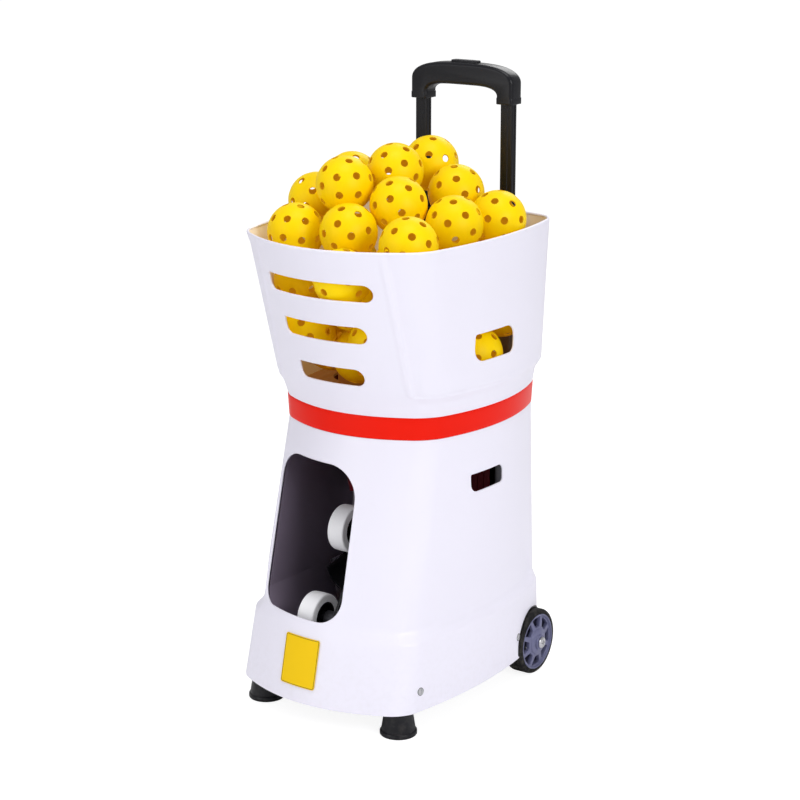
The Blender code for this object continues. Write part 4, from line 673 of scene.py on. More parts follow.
def skirt_step(points, height):
    """The sides step in above the skirt, and come back to the casing's line further up."""
    rise = float(smooth_step((height - SKIRT[0]) / (TRUNK[0] - SKIRT[0]) * SKIRT_STEEP))
    fade = 1 - float(smooth_step((height - TRUNK[0]) / SKIRT_FADE))
    beside = smooth_step((np.abs(points[:, 0]) - SKIRT_SIDE_X) / SKIRT_SIDE_FADE)
    beside = beside * (points[:, 1] < REAR_Y - SKIRT_REAR_GAP)
    inward = np.stack((-np.sign(points[:, 0]), np.zeros(len(points))), axis=1)
    return inward * (SKIRT_STEP * rise * fade * beside)[:, None]


def read_off(points, axis, place):
    """Other coordinate of a stretch of outline where one coordinate has a value."""
    points = points[np.argsort(points[:, axis])]
    return float(np.interp(place, points[:, axis], points[:, 1 - axis]))


def front_y(levels, x, height):
    """Front surface of a casing at a place across the width."""
    points = ring(levels, height)
    return read_off(points[points[:, 1] < FRONT_OF_Y], 0, x)


def side_x(levels, y, height):
    """Right-hand surface of a casing at a place along the depth."""
    points = ring(levels, height)
    return read_off(points[points[:, 0] > BESIDE_X], 1, y)


def heights(levels, step=0.006, fine=0.0012):
    """Heights of the mesh rings: close together at the folds, wider between them."""
    low, high = levels[0][0], levels[-1][0]
    places = set(np.linspace(low, high, round((high - low) / step) + 1))
    for fold in levels[1:-1, 0]:
        places |= set(fold + np.arange(-6, 7) * fine)
    ordered = sorted(place for place in places if low <= place <= high)
    kept = [ordered[0]]
    for place in ordered[1:]:
        if place - kept[-1] > fine / 2:
            kept.append(place)
    kept[-1] = high
    return kept


def skin(name, levels, finish_name):
    """Skin through all the rings of a casing, thickened inwards."""
    bm = bmesh.new()
    joined(bm, [[bm.verts.new((x, y, height)) for x, y in ring(levels, height)]
                for height in heights(levels)])
    casing = mesh_object(name, bm, finish_name)
    thick = casing.modifiers.new("wall", "SOLIDIFY")
    thick.thickness, thick.offset, thick.use_even_offset = WALL, -1.0, True
    return casing


print("casing rings:", len(heights(LOWER)), "below and", len(heights(HOPPER)), "above, of",
      len(ring(LOWER, HEM[0])), "points")

# %% [markdown]
# Openings in a moulding have round lips, not knife edges. The openings are cut with Boolean shapes,
# and then a bead as thick as the wall is swept along each cut edge. The bead is a closed curve with a
# round bevel, and it lies in the middle of the wall, so both faces run into it smoothly.

# %% Openings and their beads
PORT = (-0.106, 0.036, 0.137, 0.338)
PORT_RADII = (0.034, 0.044, 0.042, 0.022)
VENT = (-0.0120, 0.0600, 0.2935, 0.3205)
VENT_RADII = (0.006, 0.012, 0.004, 0.013)
REAR_DOOR = (-0.049, 0.049, 0.196, 0.324)
REAR_DOOR_RADIUS = 0.008
SLOTS = ((0.1590, 0.5725), (0.1265, 0.5160), (0.1000, 0.4580))
SLOT_HEIGHT = 0.0255
WINDOW = (-0.0215, 0.0665, 0.468, 0.508)
WINDOW_RADII = (0.010, 0.019, 0.005, 0.022)
WHEEL_MIDDLE = middle_of("tyre_right")
ARCH_RADIUS = 0.0475
ARCH_INNER_X = 0.117
FRONT_CUT_Y, SLOT_CUT_Y, REAR_CUT_Y, SIDE_CUT_X = -0.080, -0.085, 0.160, 0.10  # where the cutters begin
REACH = 0.25
MIDDLE_Y = 0.04


def front_path(levels, outline):
    """Outline laid on the front wall, in the middle of its thickness."""
    return [(x, front_y(levels, x, z) + WALL / 2, z) for x, z in outline]


def side_path(levels, outline, side):
    """Outline laid on a side wall, in the middle of its thickness."""
    return [(side * (side_x(levels, y, z) - WALL / 2), y, z) for y, z in outline]


def bead(name, paths, finish_name, radius=WALL / 2):
    """Round bead swept along one or more closed paths, as one piece."""
    curve = bpy.data.curves.new(name, "CURVE")
    curve.dimensions = "3D"
    curve.bevel_depth = radius
    curve.bevel_resolution = 3
    for path in paths:
        spline = curve.splines.new("POLY")
        spline.points.add(len(path) - 1)
        for point, place in zip(spline.points, path):
            point.co = (*place, 1.0)
        spline.use_cyclic_u = True
    piece = bpy.data.objects.new(name, curve)
    bpy.context.scene.collection.objects.link(piece)
    curve.materials.append(finish(finish_name))
    put(settle(piece), "machine", finish_name)


casing = settle(skin("lower_casing", LOWER, "white"))
shapes = bmesh.new()
prism(shapes, rounded(*PORT, PORT_RADII), -REACH, FRONT_CUT_Y, along_y)
prism(shapes, rounded(*REAR_DOOR, REAR_DOOR_RADIUS), REAR_CUT_Y, REACH, along_y)
wheel_arch = circle(WHEEL_MIDDLE.y, WHEEL_MIDDLE.z, ARCH_RADIUS, 72)
for side in (1, -1):
    prism(shapes, rounded(*VENT, VENT_RADII), *across(side, SIDE_CUT_X, REACH), along_x)
    prism(shapes, wheel_arch, *across(side, ARCH_INNER_X, REACH), along_x)
casing = cut_away(casing, shapes)
put(casing, "machine", "white", "lower_shell")
bead("port_edge", [front_path(LOWER, rounded(*PORT, PORT_RADII, 10, 24))], "white")
vent_outline = rounded(*VENT, VENT_RADII, 8, 8)
bead("vent_edges", [side_path(LOWER, vent_outline, side) for side in (1, -1)], "white")
print("lower casing:", len(casing.data.polygons), "faces")

# %% [markdown]
# The hopper is cut the same way, with three slots in front and a hand window in each side. Yellow balls
# throw warm light on the inside of a real hopper, so its inner faces get a warmer colour and a faint glow:
# painted light from the balls. A second material slot does that without a second piece.

# %% The hopper's casing
hopper = settle(skin("hopper_casing", HOPPER, "white"))
shapes = bmesh.new()
slot_outlines = []
for length, middle_z in SLOTS:
    end = SLOT_HEIGHT * 0.499
    slot_outlines.append(rounded(-length / 2, length / 2, middle_z - SLOT_HEIGHT / 2,
                                 middle_z + SLOT_HEIGHT / 2, (end, end, 0.002, SLOT_HEIGHT * 0.4), 8, 16))
    prism(shapes, slot_outlines[-1], -REACH, SLOT_CUT_Y, along_y)
for side in (1, -1):
    prism(shapes, rounded(*WINDOW, WINDOW_RADII), *across(side, SIDE_CUT_X, REACH), along_x)
hopper = cut_away(hopper, shapes)
# inner faces take the painted light from the balls
hopper.data.materials.append(finish("hopper_lining"))
for face in hopper.data.polygons:
    outward = Vector((face.center.x, face.center.y - MIDDLE_Y, 0))
    if face.normal.dot(outward) < 0:
        face.material_index = 1
put(hopper, "machine", "white", "hopper_shell")
bead("slot_edges", [front_path(HOPPER, outline) for outline in slot_outlines], "white")
window_outline = rounded(*WINDOW, WINDOW_RADII, 8, 8)
bead("window_edges", [side_path(HOPPER, window_outline, side) for side in (1, -1)], "white")
print("hopper casing:", len(hopper.data.polygons), "faces")

# %% [markdown]
# The waist band is a separate red hoop between the two mouldings. It stands a hair proud of them and
# its edges are rounded, which is what makes the thin bright lines along it.

# %% The waist band
BAND_PROUD = 0.0006
BAND_LOW = (0.3760, WAIST[1] + BAND_PROUD, WAIST[2] + BAND_PROUD, WAIST[3], WAIST[4])
BAND_HIGH = (0.4050, COLLAR[1] + BAND_PROUD, COLLAR[2] + BAND_PROUD, COLLAR[3], COLLAR[4])
band = skin("waist_hoop", np.array((BAND_LOW, BAND_HIGH)), "band_red")
bevelled(band, 0.0008, 3, 50)
band = put(settle(band), "machine", "band_red", "waist_band")
print("waist band:", len(band.data.polygons), "faces")

# %% [markdown]
# Some things repeat: the holes of a ball, the balls themselves, lugs on a tyre, screws. Three geometry
# trees serve them all. One turns copies of a piece around an axle. One sets copies at marked points,
# turned to face along a stored direction and rolled by a seeded amount. The third drills a hollow ball.

# %% Geometry trees
FLOAT, INT, VECTOR = "NodeSocketFloat", "NodeSocketInt", "NodeSocketVector"
OBJECT, MATERIAL = "NodeSocketObject", "NodeSocketMaterial"
GOLDEN_ANGLE = math.pi * (3 - math.sqrt(5))


def geometry_tree(name, inputs):
    """Empty geometry tree with a geometry input, the named inputs, two materials and a geometry output."""
    tree = bpy.data.node_groups.new(name, "GeometryNodeTree")
    tree.is_modifier = True
    tree.interface.new_socket("Geometry", in_out="INPUT", socket_type="NodeSocketGeometry")
    for socket, kind in (*inputs, ("Material", MATERIAL), ("Inside Material", MATERIAL)):
        tree.interface.new_socket(socket, in_out="INPUT", socket_type=kind)
    tree.interface.new_socket("Geometry", in_out="OUTPUT", socket_type="NodeSocketGeometry")
    return tree, tree.nodes.new("NodeGroupInput").outputs


def close_tree(tree, instances, given):
    """Make instances real, paint them, give faces marked as inside their own paint, and end the tree."""
    real = node(tree, "GeometryNodeRealizeInstances", {"Geometry": instances})
    painted = node(tree, "GeometryNodeSetMaterial",
                   {"Geometry": real.outputs[0], "Material": given["Material"]})
    inside = node(tree, "GeometryNodeInputNamedAttribute", {"Name": "inside"}, data_type="BOOLEAN")
    lined = node(tree, "GeometryNodeSetMaterial", {
        "Geometry": painted.outputs[0], "Selection": inside.outputs[0], "Material": given["Inside Material"]})
    node(tree, "NodeGroupOutput", {"Geometry": lined.outputs[0]})


def ring_tree():
    """Copies of an object turned around the X axis through a centre."""
    tree, given = geometry_tree("ring_of", (("Piece", OBJECT), ("Count", INT), ("Centre", VECTOR)))
    points = node(tree, "GeometryNodePoints", {"Count": given["Count"], "Position": given["Centre"]})
    index = node(tree, "GeometryNodeInputIndex").outputs[0]
    angle = reckoned(tree, "MULTIPLY", reckoned(tree, "DIVIDE", index, given["Count"]), TURN)
    euler = node(tree, "ShaderNodeCombineXYZ", {0: angle})
    turned = node(tree, "FunctionNodeEulerToRotation", {0: euler.outputs[0]})
    piece = node(tree, "GeometryNodeObjectInfo", {"Object": given["Piece"]})
    copies = node(tree, "GeometryNodeInstanceOnPoints", {
        "Points": points.outputs[0], "Instance": piece.outputs["Geometry"], "Rotation": turned.outputs[0]})
    close_tree(tree, copies.outputs[0], given)
    return tree


def scatter_tree():
    """Copies of an object at marked points, facing along a stored direction, rolled at random."""
    tree, given = geometry_tree("set_out", (("Piece", OBJECT), ("Roll", VECTOR), ("Seed", INT)))
    points = node(tree, "GeometryNodeMeshToPoints", {"Mesh": given["Geometry"]})
    roll = node(tree, "FunctionNodeRandomValue", {"Max": given["Roll"], "Seed": given["Seed"]},
                data_type="FLOAT_VECTOR")
    rolled = node(tree, "FunctionNodeEulerToRotation", {0: roll.outputs[0]})
    facing = node(tree, "GeometryNodeInputNamedAttribute", {"Name": "facing"}, data_type="FLOAT_VECTOR")
    aimed = node(tree, "FunctionNodeAlignRotationToVector", {"Rotation": rolled.outputs[0],
                                                              "Vector": facing.outputs[0]}, axis="Z")
    piece = node(tree, "GeometryNodeObjectInfo", {"Object": given["Piece"]})
    copies = node(tree, "GeometryNodeInstanceOnPoints", {
        "Points": points.outputs[0], "Instance": piece.outputs["Geometry"], "Rotation": aimed.outputs[0]})
    close_tree(tree, copies.outputs[0], given)
    return tree


def ball_tree():
    """Hollow ball with round holes on a golden-angle spiral, which spreads them evenly."""
    tree, given = geometry_tree("perforated_ball", (
        ("Radius", FLOAT), ("Wall", FLOAT), ("Hole Radius", FLOAT), ("Holes", INT)))
    points = node(tree, "GeometryNodePoints", {"Count": given["Holes"]})
    index = node(tree, "GeometryNodeInputIndex").outputs[0]
    step = reckoned(tree, "DIVIDE", reckoned(tree, "MULTIPLY_ADD", index, 2.0, 1.0), given["Holes"])
    height = reckoned(tree, "SUBTRACT", 1.0, step)
    squared = reckoned(tree, "MULTIPLY", height, height)
    across = reckoned(tree, "SQRT", reckoned(tree, "SUBTRACT", 1.0, squared))
    angle = reckoned(tree, "MULTIPLY", index, GOLDEN_ANGLE)
    direction = node(tree, "ShaderNodeCombineXYZ", {
        0: reckoned(tree, "MULTIPLY", across, reckoned(tree, "COSINE", angle)),
        1: reckoned(tree, "MULTIPLY", across, reckoned(tree, "SINE", angle)), 2: height}).outputs[0]
    place = node(tree, "ShaderNodeVectorMath", {0: direction, "Scale": given["Radius"]}, operation="SCALE")
    spread = node(tree, "GeometryNodeSetPosition",
                  {"Geometry": points.outputs[0], "Position": place.outputs[0]})
    depth = reckoned(tree, "MULTIPLY", given["Wall"], 6.0)
    drill = node(tree, "GeometryNodeMeshCylinder",
                 {"Vertices": 16, "Radius": given["Hole Radius"], "Depth": depth})
    aimed = node(tree, "FunctionNodeAlignRotationToVector", {"Vector": direction}, axis="Z")
    drills = node(tree, "GeometryNodeInstanceOnPoints", {
        "Points": spread.outputs[0], "Instance": drill.outputs["Mesh"], "Rotation": aimed.outputs[0]})
    outer = node(tree, "GeometryNodeMeshIcoSphere", {"Radius": given["Radius"], "Subdivisions": 5})
    within = reckoned(tree, "SUBTRACT", given["Radius"], given["Wall"])
    inner = node(tree, "GeometryNodeMeshIcoSphere", {"Radius": within, "Subdivisions": 4})
    hollow = node(tree, "GeometryNodeMeshBoolean",
                  {"Mesh 1": outer.outputs["Mesh"], "Mesh 2": inner.outputs["Mesh"]}, operation="DIFFERENCE")
    loose = node(tree, "GeometryNodeRealizeInstances", {"Geometry": drills.outputs[0]})
    drilled = node(tree, "GeometryNodeMeshBoolean",
                   {"Mesh 1": hollow.outputs["Mesh"], "Mesh 2": loose.outputs[0]}, operation="DIFFERENCE")
    where = node(tree, "GeometryNodeInputPosition").outputs[0]
    distance = node(tree, "ShaderNodeVectorMath", {0: where}, operation="LENGTH").outputs["Value"]
    surface = reckoned(tree, "MULTIPLY_ADD", given["Wall"], -0.2, given["Radius"])
    marked = node(tree, "GeometryNodeStoreNamedAttribute", {
        "Geometry": drilled.outputs["Mesh"], "Name": "inside",
        "Value": reckoned(tree, "LESS_THAN", distance, surface)}, data_type="BOOLEAN", domain="FACE")
    close_tree(tree, marked.outputs[0], given)
    return tree


RING_OF, SET_OUT, PERFORATED = ring_tree(), scatter_tree(), ball_tree()


def grown(name, tree, values, base=None):
    """Object whose mesh a geometry tree makes from the named values."""
    piece = bpy.data.objects.new(name, base or bpy.data.meshes.new(name))
    bpy.context.scene.collection.objects.link(piece)
    growth = piece.modifiers.new("growth", "NODES")
    growth.node_group = tree
    for socket in tree.interface.items_tree:
        if socket.in_out == "INPUT" and socket.name in values:
            growth[socket.identifier] = values[socket.name]
    return settle(piece)


def marks(name, places, facings):
    """Mesh of loose points, each with the direction it faces."""
    mesh = bpy.data.meshes.new(name)
    mesh.from_pydata([tuple(place) for place in places], [], [])
    facing = mesh.attributes.new("facing", "FLOAT_VECTOR", "POINT")
    for entry, direction in zip(facing.data, facings):
        entry.vector = direction
    return mesh


print("geometry trees:", ", ".join(tree.name for tree in (RING_OF, SET_OUT, PERFORATED)))

# %% [markdown]
# A pickleball is a thin hollow ball with round holes. The heap's balls lie where the frame has
# them: each ball there is a plain sphere, so its two poles stand one diameter apart on one upright
# line, and the middle between them is the ball's centre. Each copy is rolled at random, or all the
# holes would line up.

# %% The pickleballs
BALL_RADIUS = 0.037
BALL_WALL = 0.0017
HOLE_RADIUS = 0.0050
HOLE_COUNT = 28
HEAP_SEED = 11


def ball_centres():
    """Middles of the spheres of the frame's pile, from the top down."""
    columns = {}
    for vertex in frame["nodes"]["pickleballs"].data.vertices:
        columns.setdefault((round(vertex.co.x, 4), round(vertex.co.y, 4)), set()).add(round(vertex.co.z, 4))
    centres = []
    for (x, y), stops in columns.items():
        for low in stops:
            if any(abs(high - low - 2 * BALL_RADIUS) < 0.00015 for high in stops):
                centres.append(Vector((x, y, low + BALL_RADIUS)))
    return sorted(centres, key=lambda centre: -centre.z)


# inside faces get a darker, glowing orange: painted shade and bounce light in the hollow
BALL_PAINT = {"Material": finish("ball_yellow"), "Inside Material": finish("ball_inside")}
ball = grown("ball_pattern", PERFORATED, {
    "Radius": BALL_RADIUS, "Wall": BALL_WALL, "Hole Radius": HOLE_RADIUS, "Holes": HOLE_COUNT, **BALL_PAINT})
centres = ball_centres()
half = len(centres) // 2
HEAPS = (("ball_heap", centres[:half], HEAP_SEED), ("ball_filling", centres[half:], HEAP_SEED + 1))
for name, some, seed in HEAPS:
    spots = marks(name + "_centres", some, [Vector((0, 0, 0))] * len(some))
    balls = grown(name, SET_OUT,
                  {"Piece": ball, "Roll": (TURN, TURN, TURN), "Seed": seed, **BALL_PAINT}, spots)
    put(balls, "ball_load", "ball_yellow", "pickleballs")
    print(name, len(some), "balls", len(balls.data.polygons), "faces")
discard(ball)

# %% [markdown]
# The hopper's rim and the casing's hem are rolled edges. They are the same kind of bead as the edges
# of the openings, laid on a whole ring of the casing instead of on a cut edge.

# %% Rolled rim and hem
RIM_BEAD = 0.0019


def ring_path(levels, height, sink):
    """Whole outline at a height, drawn in by a depth."""
    points = ring(levels, height)
    return [(x, y, height) for x, y in points - outward_of(points) * sink]


bead("hopper_rim", [ring_path(HOPPER, RIM[0], RIM_BEAD)], "white", RIM_BEAD)
bead("casing_hem", [ring_path(LOWER, HEM[0] + 0.0008, WALL / 2)], "white")
print("rolled edges at z =", HEM[0], "and", RIM[0])

# %% [markdown]
# A wheel is turned work: its section is drawn once as a closed line in (distance along the axle,
# radius) and spun around the axle. The windows between the spokes are one rounded shape, set around
# the axle by the ring tree and cut through the web.

# %% The wheels
WHEEL_RADIUS = 0.045
SEAT_RADIUS = 0.0385
TYRE_INNER_X, TYRE_OUTER_X = 0.1212, 0.1490
WINDOW_COUNT = 8
SPOKE_WIDTH = 0.0062
WINDOW_LOW, WINDOW_HIGH = 0.0208, 0.0344
WINDOW_CUT_X = (0.1300, 0.1530)
GROOVE_INSET, GROOVE_HALF, GROOVE_FLOOR, GROOVE_DEPTH = 0.0100, 0.0012, 0.0007, 0.0012
LUG_COUNT = 90
LUG_INSET, LUG_HALF_X, LUG_HALF_Y = 0.0064, 0.0026, 0.0006
LUG_LOW, LUG_HIGH = WHEEL_RADIUS - 0.0012, WHEEL_RADIUS - 0.0001
CROSS_LONG, CROSS_NARROW = 0.0042, 0.0007
CROSS_CUT_X = (0.1568, 0.1600)


def spun(name, finish_name, profile, centre, steps=96, side=1):
    """Object with a closed profile of (x, radius) spun around an axle that lies along X."""
    bm = bmesh.new()
    rows = []
    for step in range(steps):
        angle = TURN * step / steps
        cos, sin = math.cos(angle), math.sin(angle)
        rows.append([bm.verts.new((side * x, centre.y + radius * cos, centre.z + radius * sin))
                     for x, radius in profile])
    bmesh.ops.recalc_face_normals(bm, faces=joined(bm, rows, looped=True))
    return mesh_object(name, bm, finish_name)


def tyre_profile():
    """Tyre section: round shoulders, two grooves around the tread, a step on each wall."""
    inner, outer, top, round_off = TYRE_INNER_X, TYRE_OUTER_X, WHEEL_RADIUS, 0.0046
    line = [(inner, SEAT_RADIUS), (inner, SEAT_RADIUS + 0.0012), (inner + 0.0004, SEAT_RADIUS + 0.0016)]
    line += [(x, r) for x, r in arc(inner + round_off, top - round_off, round_off, 180, 90, 5)]
    for groove in (inner + GROOVE_INSET, outer - GROOVE_INSET):
        line += [(groove - GROOVE_HALF, top), (groove - GROOVE_FLOOR, top - GROOVE_DEPTH),
                 (groove + GROOVE_FLOOR, top - GROOVE_DEPTH), (groove + GROOVE_HALF, top)]
    line += [(x, r) for x, r in arc(outer - round_off, top - round_off, round_off, 90, 0, 5)]
    line += [(outer - 0.0004, SEAT_RADIUS + 0.0016), (outer, SEAT_RADIUS + 0.0012), (outer, SEAT_RADIUS)]
    return line


RIM_PROFILE = (
    # distance along the axle, radius: the hub's face first, then down the web to the flange and back
    (0.1230, 0.0060), (0.1538, 0.0060), (0.1545, 0.0068), (0.1545, 0.0098), (0.1538, 0.0106),
    (0.1516, 0.0110), (0.1512, 0.0118), (0.1508, 0.0164), (0.1502, 0.0172), (0.1492, 0.0176),
    (0.1486, 0.0184), (0.1462, 0.0350), (0.1468, 0.0355), (0.1480, 0.0358), (0.1490, 0.0363),
    (0.1493, 0.0371), (0.1490, 0.0380), (0.1482, 0.0384), (0.1225, 0.0384), (0.1222, 0.0380),
    (0.1222, 0.0355), (0.1226, 0.0350), (0.1406, 0.0350), (0.1410, 0.0345), (0.1440, 0.0170),
    (0.1440, 0.0120), (0.1230, 0.0120))
# a thin dark disc inside the rim, behind the windows: painted shade for the shadowed pockets of the web
BACK_PROFILE = ((0.1340, 0.0125), (0.1350, 0.0125), (0.1350, 0.0348), (0.1340, 0.0348))
CAP_PROFILE = ((0.1547, 0.0074), (0.1552, 0.0078), (0.1562, 0.0078), (0.1570, 0.0072), (0.1576, 0.0055),
               (0.1579, 0.0030), (0.1579, 0.0001), (0.1547, 0.0001))


def window_shape():
    """Rounded window between two spokes, as an outline in (y, z) about the axle."""
    half_gap = math.pi / WINDOW_COUNT
    points = []
    for radius, low_first, corner in ((WINDOW_HIGH, True, 0.0022), (WINDOW_LOW, False, 0.0018)):
        reach = half_gap - (SPOKE_WIDTH / 2 + corner) / radius
        inset = radius - corner if radius == WINDOW_HIGH else radius + corner
        ends = (-reach, reach) if low_first else (reach, -reach)
        for end in ends:
            start = math.degrees(end) + {(True, True): -90, (True, False): 0, (False, False): 90,
                                         (False, True): 180}[(low_first, end < 0)]
            points += arc(inset * math.cos(end), inset * math.sin(end), corner, start, start + 90, 4)
    return points


def wheel(side, word):
    """Tyre, lugs, rim and cap of one wheel."""
    body, centre = word + "_wheel", (0.0, WHEEL_MIDDLE.y, WHEEL_MIDDLE.z)
    put(spun("tyre_body_" + word, "tyre_black", tyre_profile(), WHEEL_MIDDLE, side=side),
        body, "tyre_black", "tyre_" + word)

    lug_x = side * (TYRE_OUTER_X - LUG_INSET)
    lug = pushed("lug_pattern", block(0.0, 0.0, LUG_HALF_X, LUG_HALF_Y, 0.0002, 2), LUG_LOW, LUG_HIGH,
                 lambda u, v, w: (lug_x + u, v, w), "tyre_black")
    lugs = grown("tyre_lugs_" + word, RING_OF,
                 {"Piece": lug, "Count": LUG_COUNT, "Centre": centre, "Material": finish("tyre_black")})
    put(lugs, body, "tyre_black")

    rim = spun("rim_body_" + word, "wheel_grey", RIM_PROFILE, WHEEL_MIDDLE, side=side)
    window = pushed("window_pattern", window_shape(), *across(side, *WINDOW_CUT_X), along_x)
    windows = grown("windows", RING_OF, {"Piece": window, "Count": WINDOW_COUNT, "Centre": centre})
    cut_with(rim, windows)
    bevelled(rim, 0.0005, 2, 50)
    rim = put(settle(rim), body, "wheel_grey", "wheel_rim_" + word)
    # the dark disc behind the windows is painted shade for the pockets of the web
    put(spun("rim_back_" + word, "wheel_navy", BACK_PROFILE, WHEEL_MIDDLE, side=side), body, "wheel_grey")

    cap = spun("cap_body_" + word, "steel", CAP_PROFILE, WHEEL_MIDDLE, 48, side)
    bm = bmesh.new()
    for half_y, half_z in ((CROSS_LONG, CROSS_NARROW), (CROSS_NARROW, CROSS_LONG)):
        prism(bm, block(WHEEL_MIDDLE.y, WHEEL_MIDDLE.z, half_y, half_z, 0.0003, 2),
              *across(side, *CROSS_CUT_X), along_x)
    cross = mesh_object("cross", bm, None)
    cut_with(cap, cross).use_self = True
    put(settle(cap), body, "steel", "hub_cap_" + word)
    discard(lug, window, windows, cross)
    print(word, "wheel:", len(rim.data.polygons), "faces in the rim")


for side, word in SIDES:
    wheel(side, word)

# %% [markdown]
# A black lip lines the wheel arch, a strip that follows the tyre with a small gap and stands a hair proud
# of the casing's side. It is built ring by ring along the arc, since its outer edge has to follow the
# casing.

# %% The arch lips
LIP_LOW, LIP_HIGH = 0.0458, 0.0474
LIP_START, LIP_END, LIP_STEPS = 35, 188, 60
LIP_INNER_X, LIP_REAR_GAP, LIP_PROUD = 0.1190, 0.006, 0.0004


def arch_lip(side, word):
    """Strip around the top and the front of one wheel."""
    bm = bmesh.new()
    rows = []
    for step in range(LIP_STEPS + 1):
        angle = math.radians(LIP_START + (LIP_END - LIP_START) * step / LIP_STEPS)
        row = []
        for radius, depth in ((LIP_LOW, 0), (LIP_LOW, 1), (LIP_HIGH, 1), (LIP_HIGH, 0)):
            y = WHEEL_MIDDLE.y + radius * math.cos(angle)
            z = WHEEL_MIDDLE.z + radius * math.sin(angle)
            x = side_x(LOWER, min(y, REAR_Y - LIP_REAR_GAP), z) + LIP_PROUD if depth else LIP_INNER_X
            row.append(bm.verts.new((side * x, y, z)))
        rows.append(row)
    bmesh.ops.recalc_face_normals(bm, faces=joined(bm, rows, capped=True))
    return put(mesh_object("arch_lip_" + word, bm, "black"), "machine", "black")


for side, word in SIDES:
    lip = arch_lip(side, word)
    print(lip.name, len(lip.data.polygons), "faces")

# %% [markdown]
# The handle's posts are drawn tubes with a rib down the front and a groove on each side, which is what
# gives them two tones. Above them sits one grip moulding: two legs and an arched bar with generous
# rounds. The grip is an outline pushed through its depth, and a bevel rounds it.

# %% The handle
POST_X, POST_Y = 0.0673, 0.1796
POST_LOW, POST_HIGH = 0.3527, 0.7687
TUBE_HALF_X, TUBE_HALF_Y = 0.0095, 0.0065
GRIP_LEG_Z, GRIP_TOP_Z = 0.7690, 0.8195
GRIP_HALF_WIDTH, GRIP_LEG_WIDTH = 0.0798, 0.0250
GRIP_SHOULDER_Z = 0.7955
GRIP_DEPTH = 0.0270
GRIP_INNER_Z, GRIP_INNER_RISE = 0.7790, 0.0115
CUFF_HALF_X, CUFF_HALF_Y, CUFF_SINK, CUFF_HEIGHT = 0.0128, 0.0134, 0.0001, 0.0085
BUTTON_HALF_X, BUTTON_HALF_Y = 0.0205, 0.0066
BUTTON_Z = (0.8158, 0.8225)
POCKET_HALF_X, POCKET_HALF_Y = 0.0215, 0.0076
POCKET_DEPTH, POCKET_TOP_Z = 0.0072, 0.8300  # deep enough for a button that sinks 3 mm when pressed
NOTCH_PITCH, NOTCH_HALF_X, NOTCH_HALF_Y = 0.0045, 0.0005, 0.0045
NOTCH_CUT_Z = (0.8220, 0.8260)


def tube_section():
    """Half of the post's section mirrored: round corners, a front rib and side grooves."""
    quarter = [(0.0, TUBE_HALF_Y), (0.0020, TUBE_HALF_Y), (0.0026, TUBE_HALF_Y - 0.0008),
               (0.0062, TUBE_HALF_Y - 0.0008)]
    quarter += arc(TUBE_HALF_X - 0.0018, TUBE_HALF_Y - 0.0026, 0.0018, 90, 0, 4)
    quarter += [(TUBE_HALF_X, 0.0018), (TUBE_HALF_X - 0.0009, 0.0012)]
    right = quarter + [(x, -y) for x, y in reversed(quarter)]
    left = [(-x, y) for x, y in reversed(right[1:-1])]
    return right + left


def bow(half_width, side_z, rise, flatness=3.2, fullness=2.2, steps=48):
    """Arched line over a half width, right to left: a superellipse, upright at both ends."""
    line = []
    for angle in np.linspace(0, math.pi, steps + 1):
        cos, sin = math.cos(angle), math.sin(angle)
        line.append((math.copysign(half_width * abs(cos) ** (2 / flatness), cos),
                     side_z + rise * abs(sin) ** (2 / fullness)))
    return line


for side, word in SIDES:
    section = [(side * POST_X + u, POST_Y + v) for u, v in tube_section()]
    post = pushed("post_" + word, section, POST_LOW, POST_HIGH, along_z, "black")
    put(post, "handle", "black", "handle_tube_" + word)

inside = GRIP_HALF_WIDTH - GRIP_LEG_WIDTH
outer = [(GRIP_HALF_WIDTH, GRIP_LEG_Z)]
outer += bow(GRIP_HALF_WIDTH, GRIP_SHOULDER_Z, GRIP_TOP_Z - GRIP_SHOULDER_Z)
outer += [(-GRIP_HALF_WIDTH, GRIP_LEG_Z)]
inner = [(inside, GRIP_LEG_Z), *bow(inside, GRIP_INNER_Z, GRIP_INNER_RISE, 4.5, 2.0, 24),
         (-inside, GRIP_LEG_Z)]
grip = pushed("grip", outer + inner[::-1], POST_Y - GRIP_DEPTH / 2, POST_Y + GRIP_DEPTH / 2, along_y, "black")
bevelled(grip, 0.0052, 5, 60)
grip = settle(grip)
bm = bmesh.new()
prism(bm, block(0.0, POST_Y, POCKET_HALF_X, POCKET_HALF_Y, 0.003, 5), GRIP_TOP_Z - POCKET_DEPTH, POCKET_TOP_Z,
      along_z)
grip = put(cut_away(grip, bm), "handle", "black", "handle_grip")

for side, word in SIDES:
    cuff = pushed("leg_collar_" + word, block(side * POST_X, POST_Y, CUFF_HALF_X, CUFF_HALF_Y, 0.004, 6),
                  GRIP_LEG_Z - CUFF_SINK, GRIP_LEG_Z + CUFF_HEIGHT, along_z, "black")
    bevelled(cuff, 0.0007, 3)
    put(settle(cuff), "handle", "black")

button = pushed("button", block(0.0, POST_Y, BUTTON_HALF_X, BUTTON_HALF_Y, 0.0035, 6), *BUTTON_Z, along_z,
                "black")
bevelled(button, 0.0012, 4)
button = settle(button)
bm = bmesh.new()
for number in range(-3, 4):
    prism(bm, block(number * NOTCH_PITCH, POST_Y, NOTCH_HALF_X, NOTCH_HALF_Y, 0.0004, 2),
          *NOTCH_CUT_Z, along_z)
button = put(cut_away(button, bm), "handle_button", "black", "release_button")
print("handle: grip", len(grip.data.polygons), "faces, button", len(button.data.polygons), "faces")

# %% [markdown]
# The launch rollers are urethane treads on a dark hub. The tread is slightly crowned and keeps round
# edges; the hub has a rim, a web with round holes and a boss, all from one spun section.

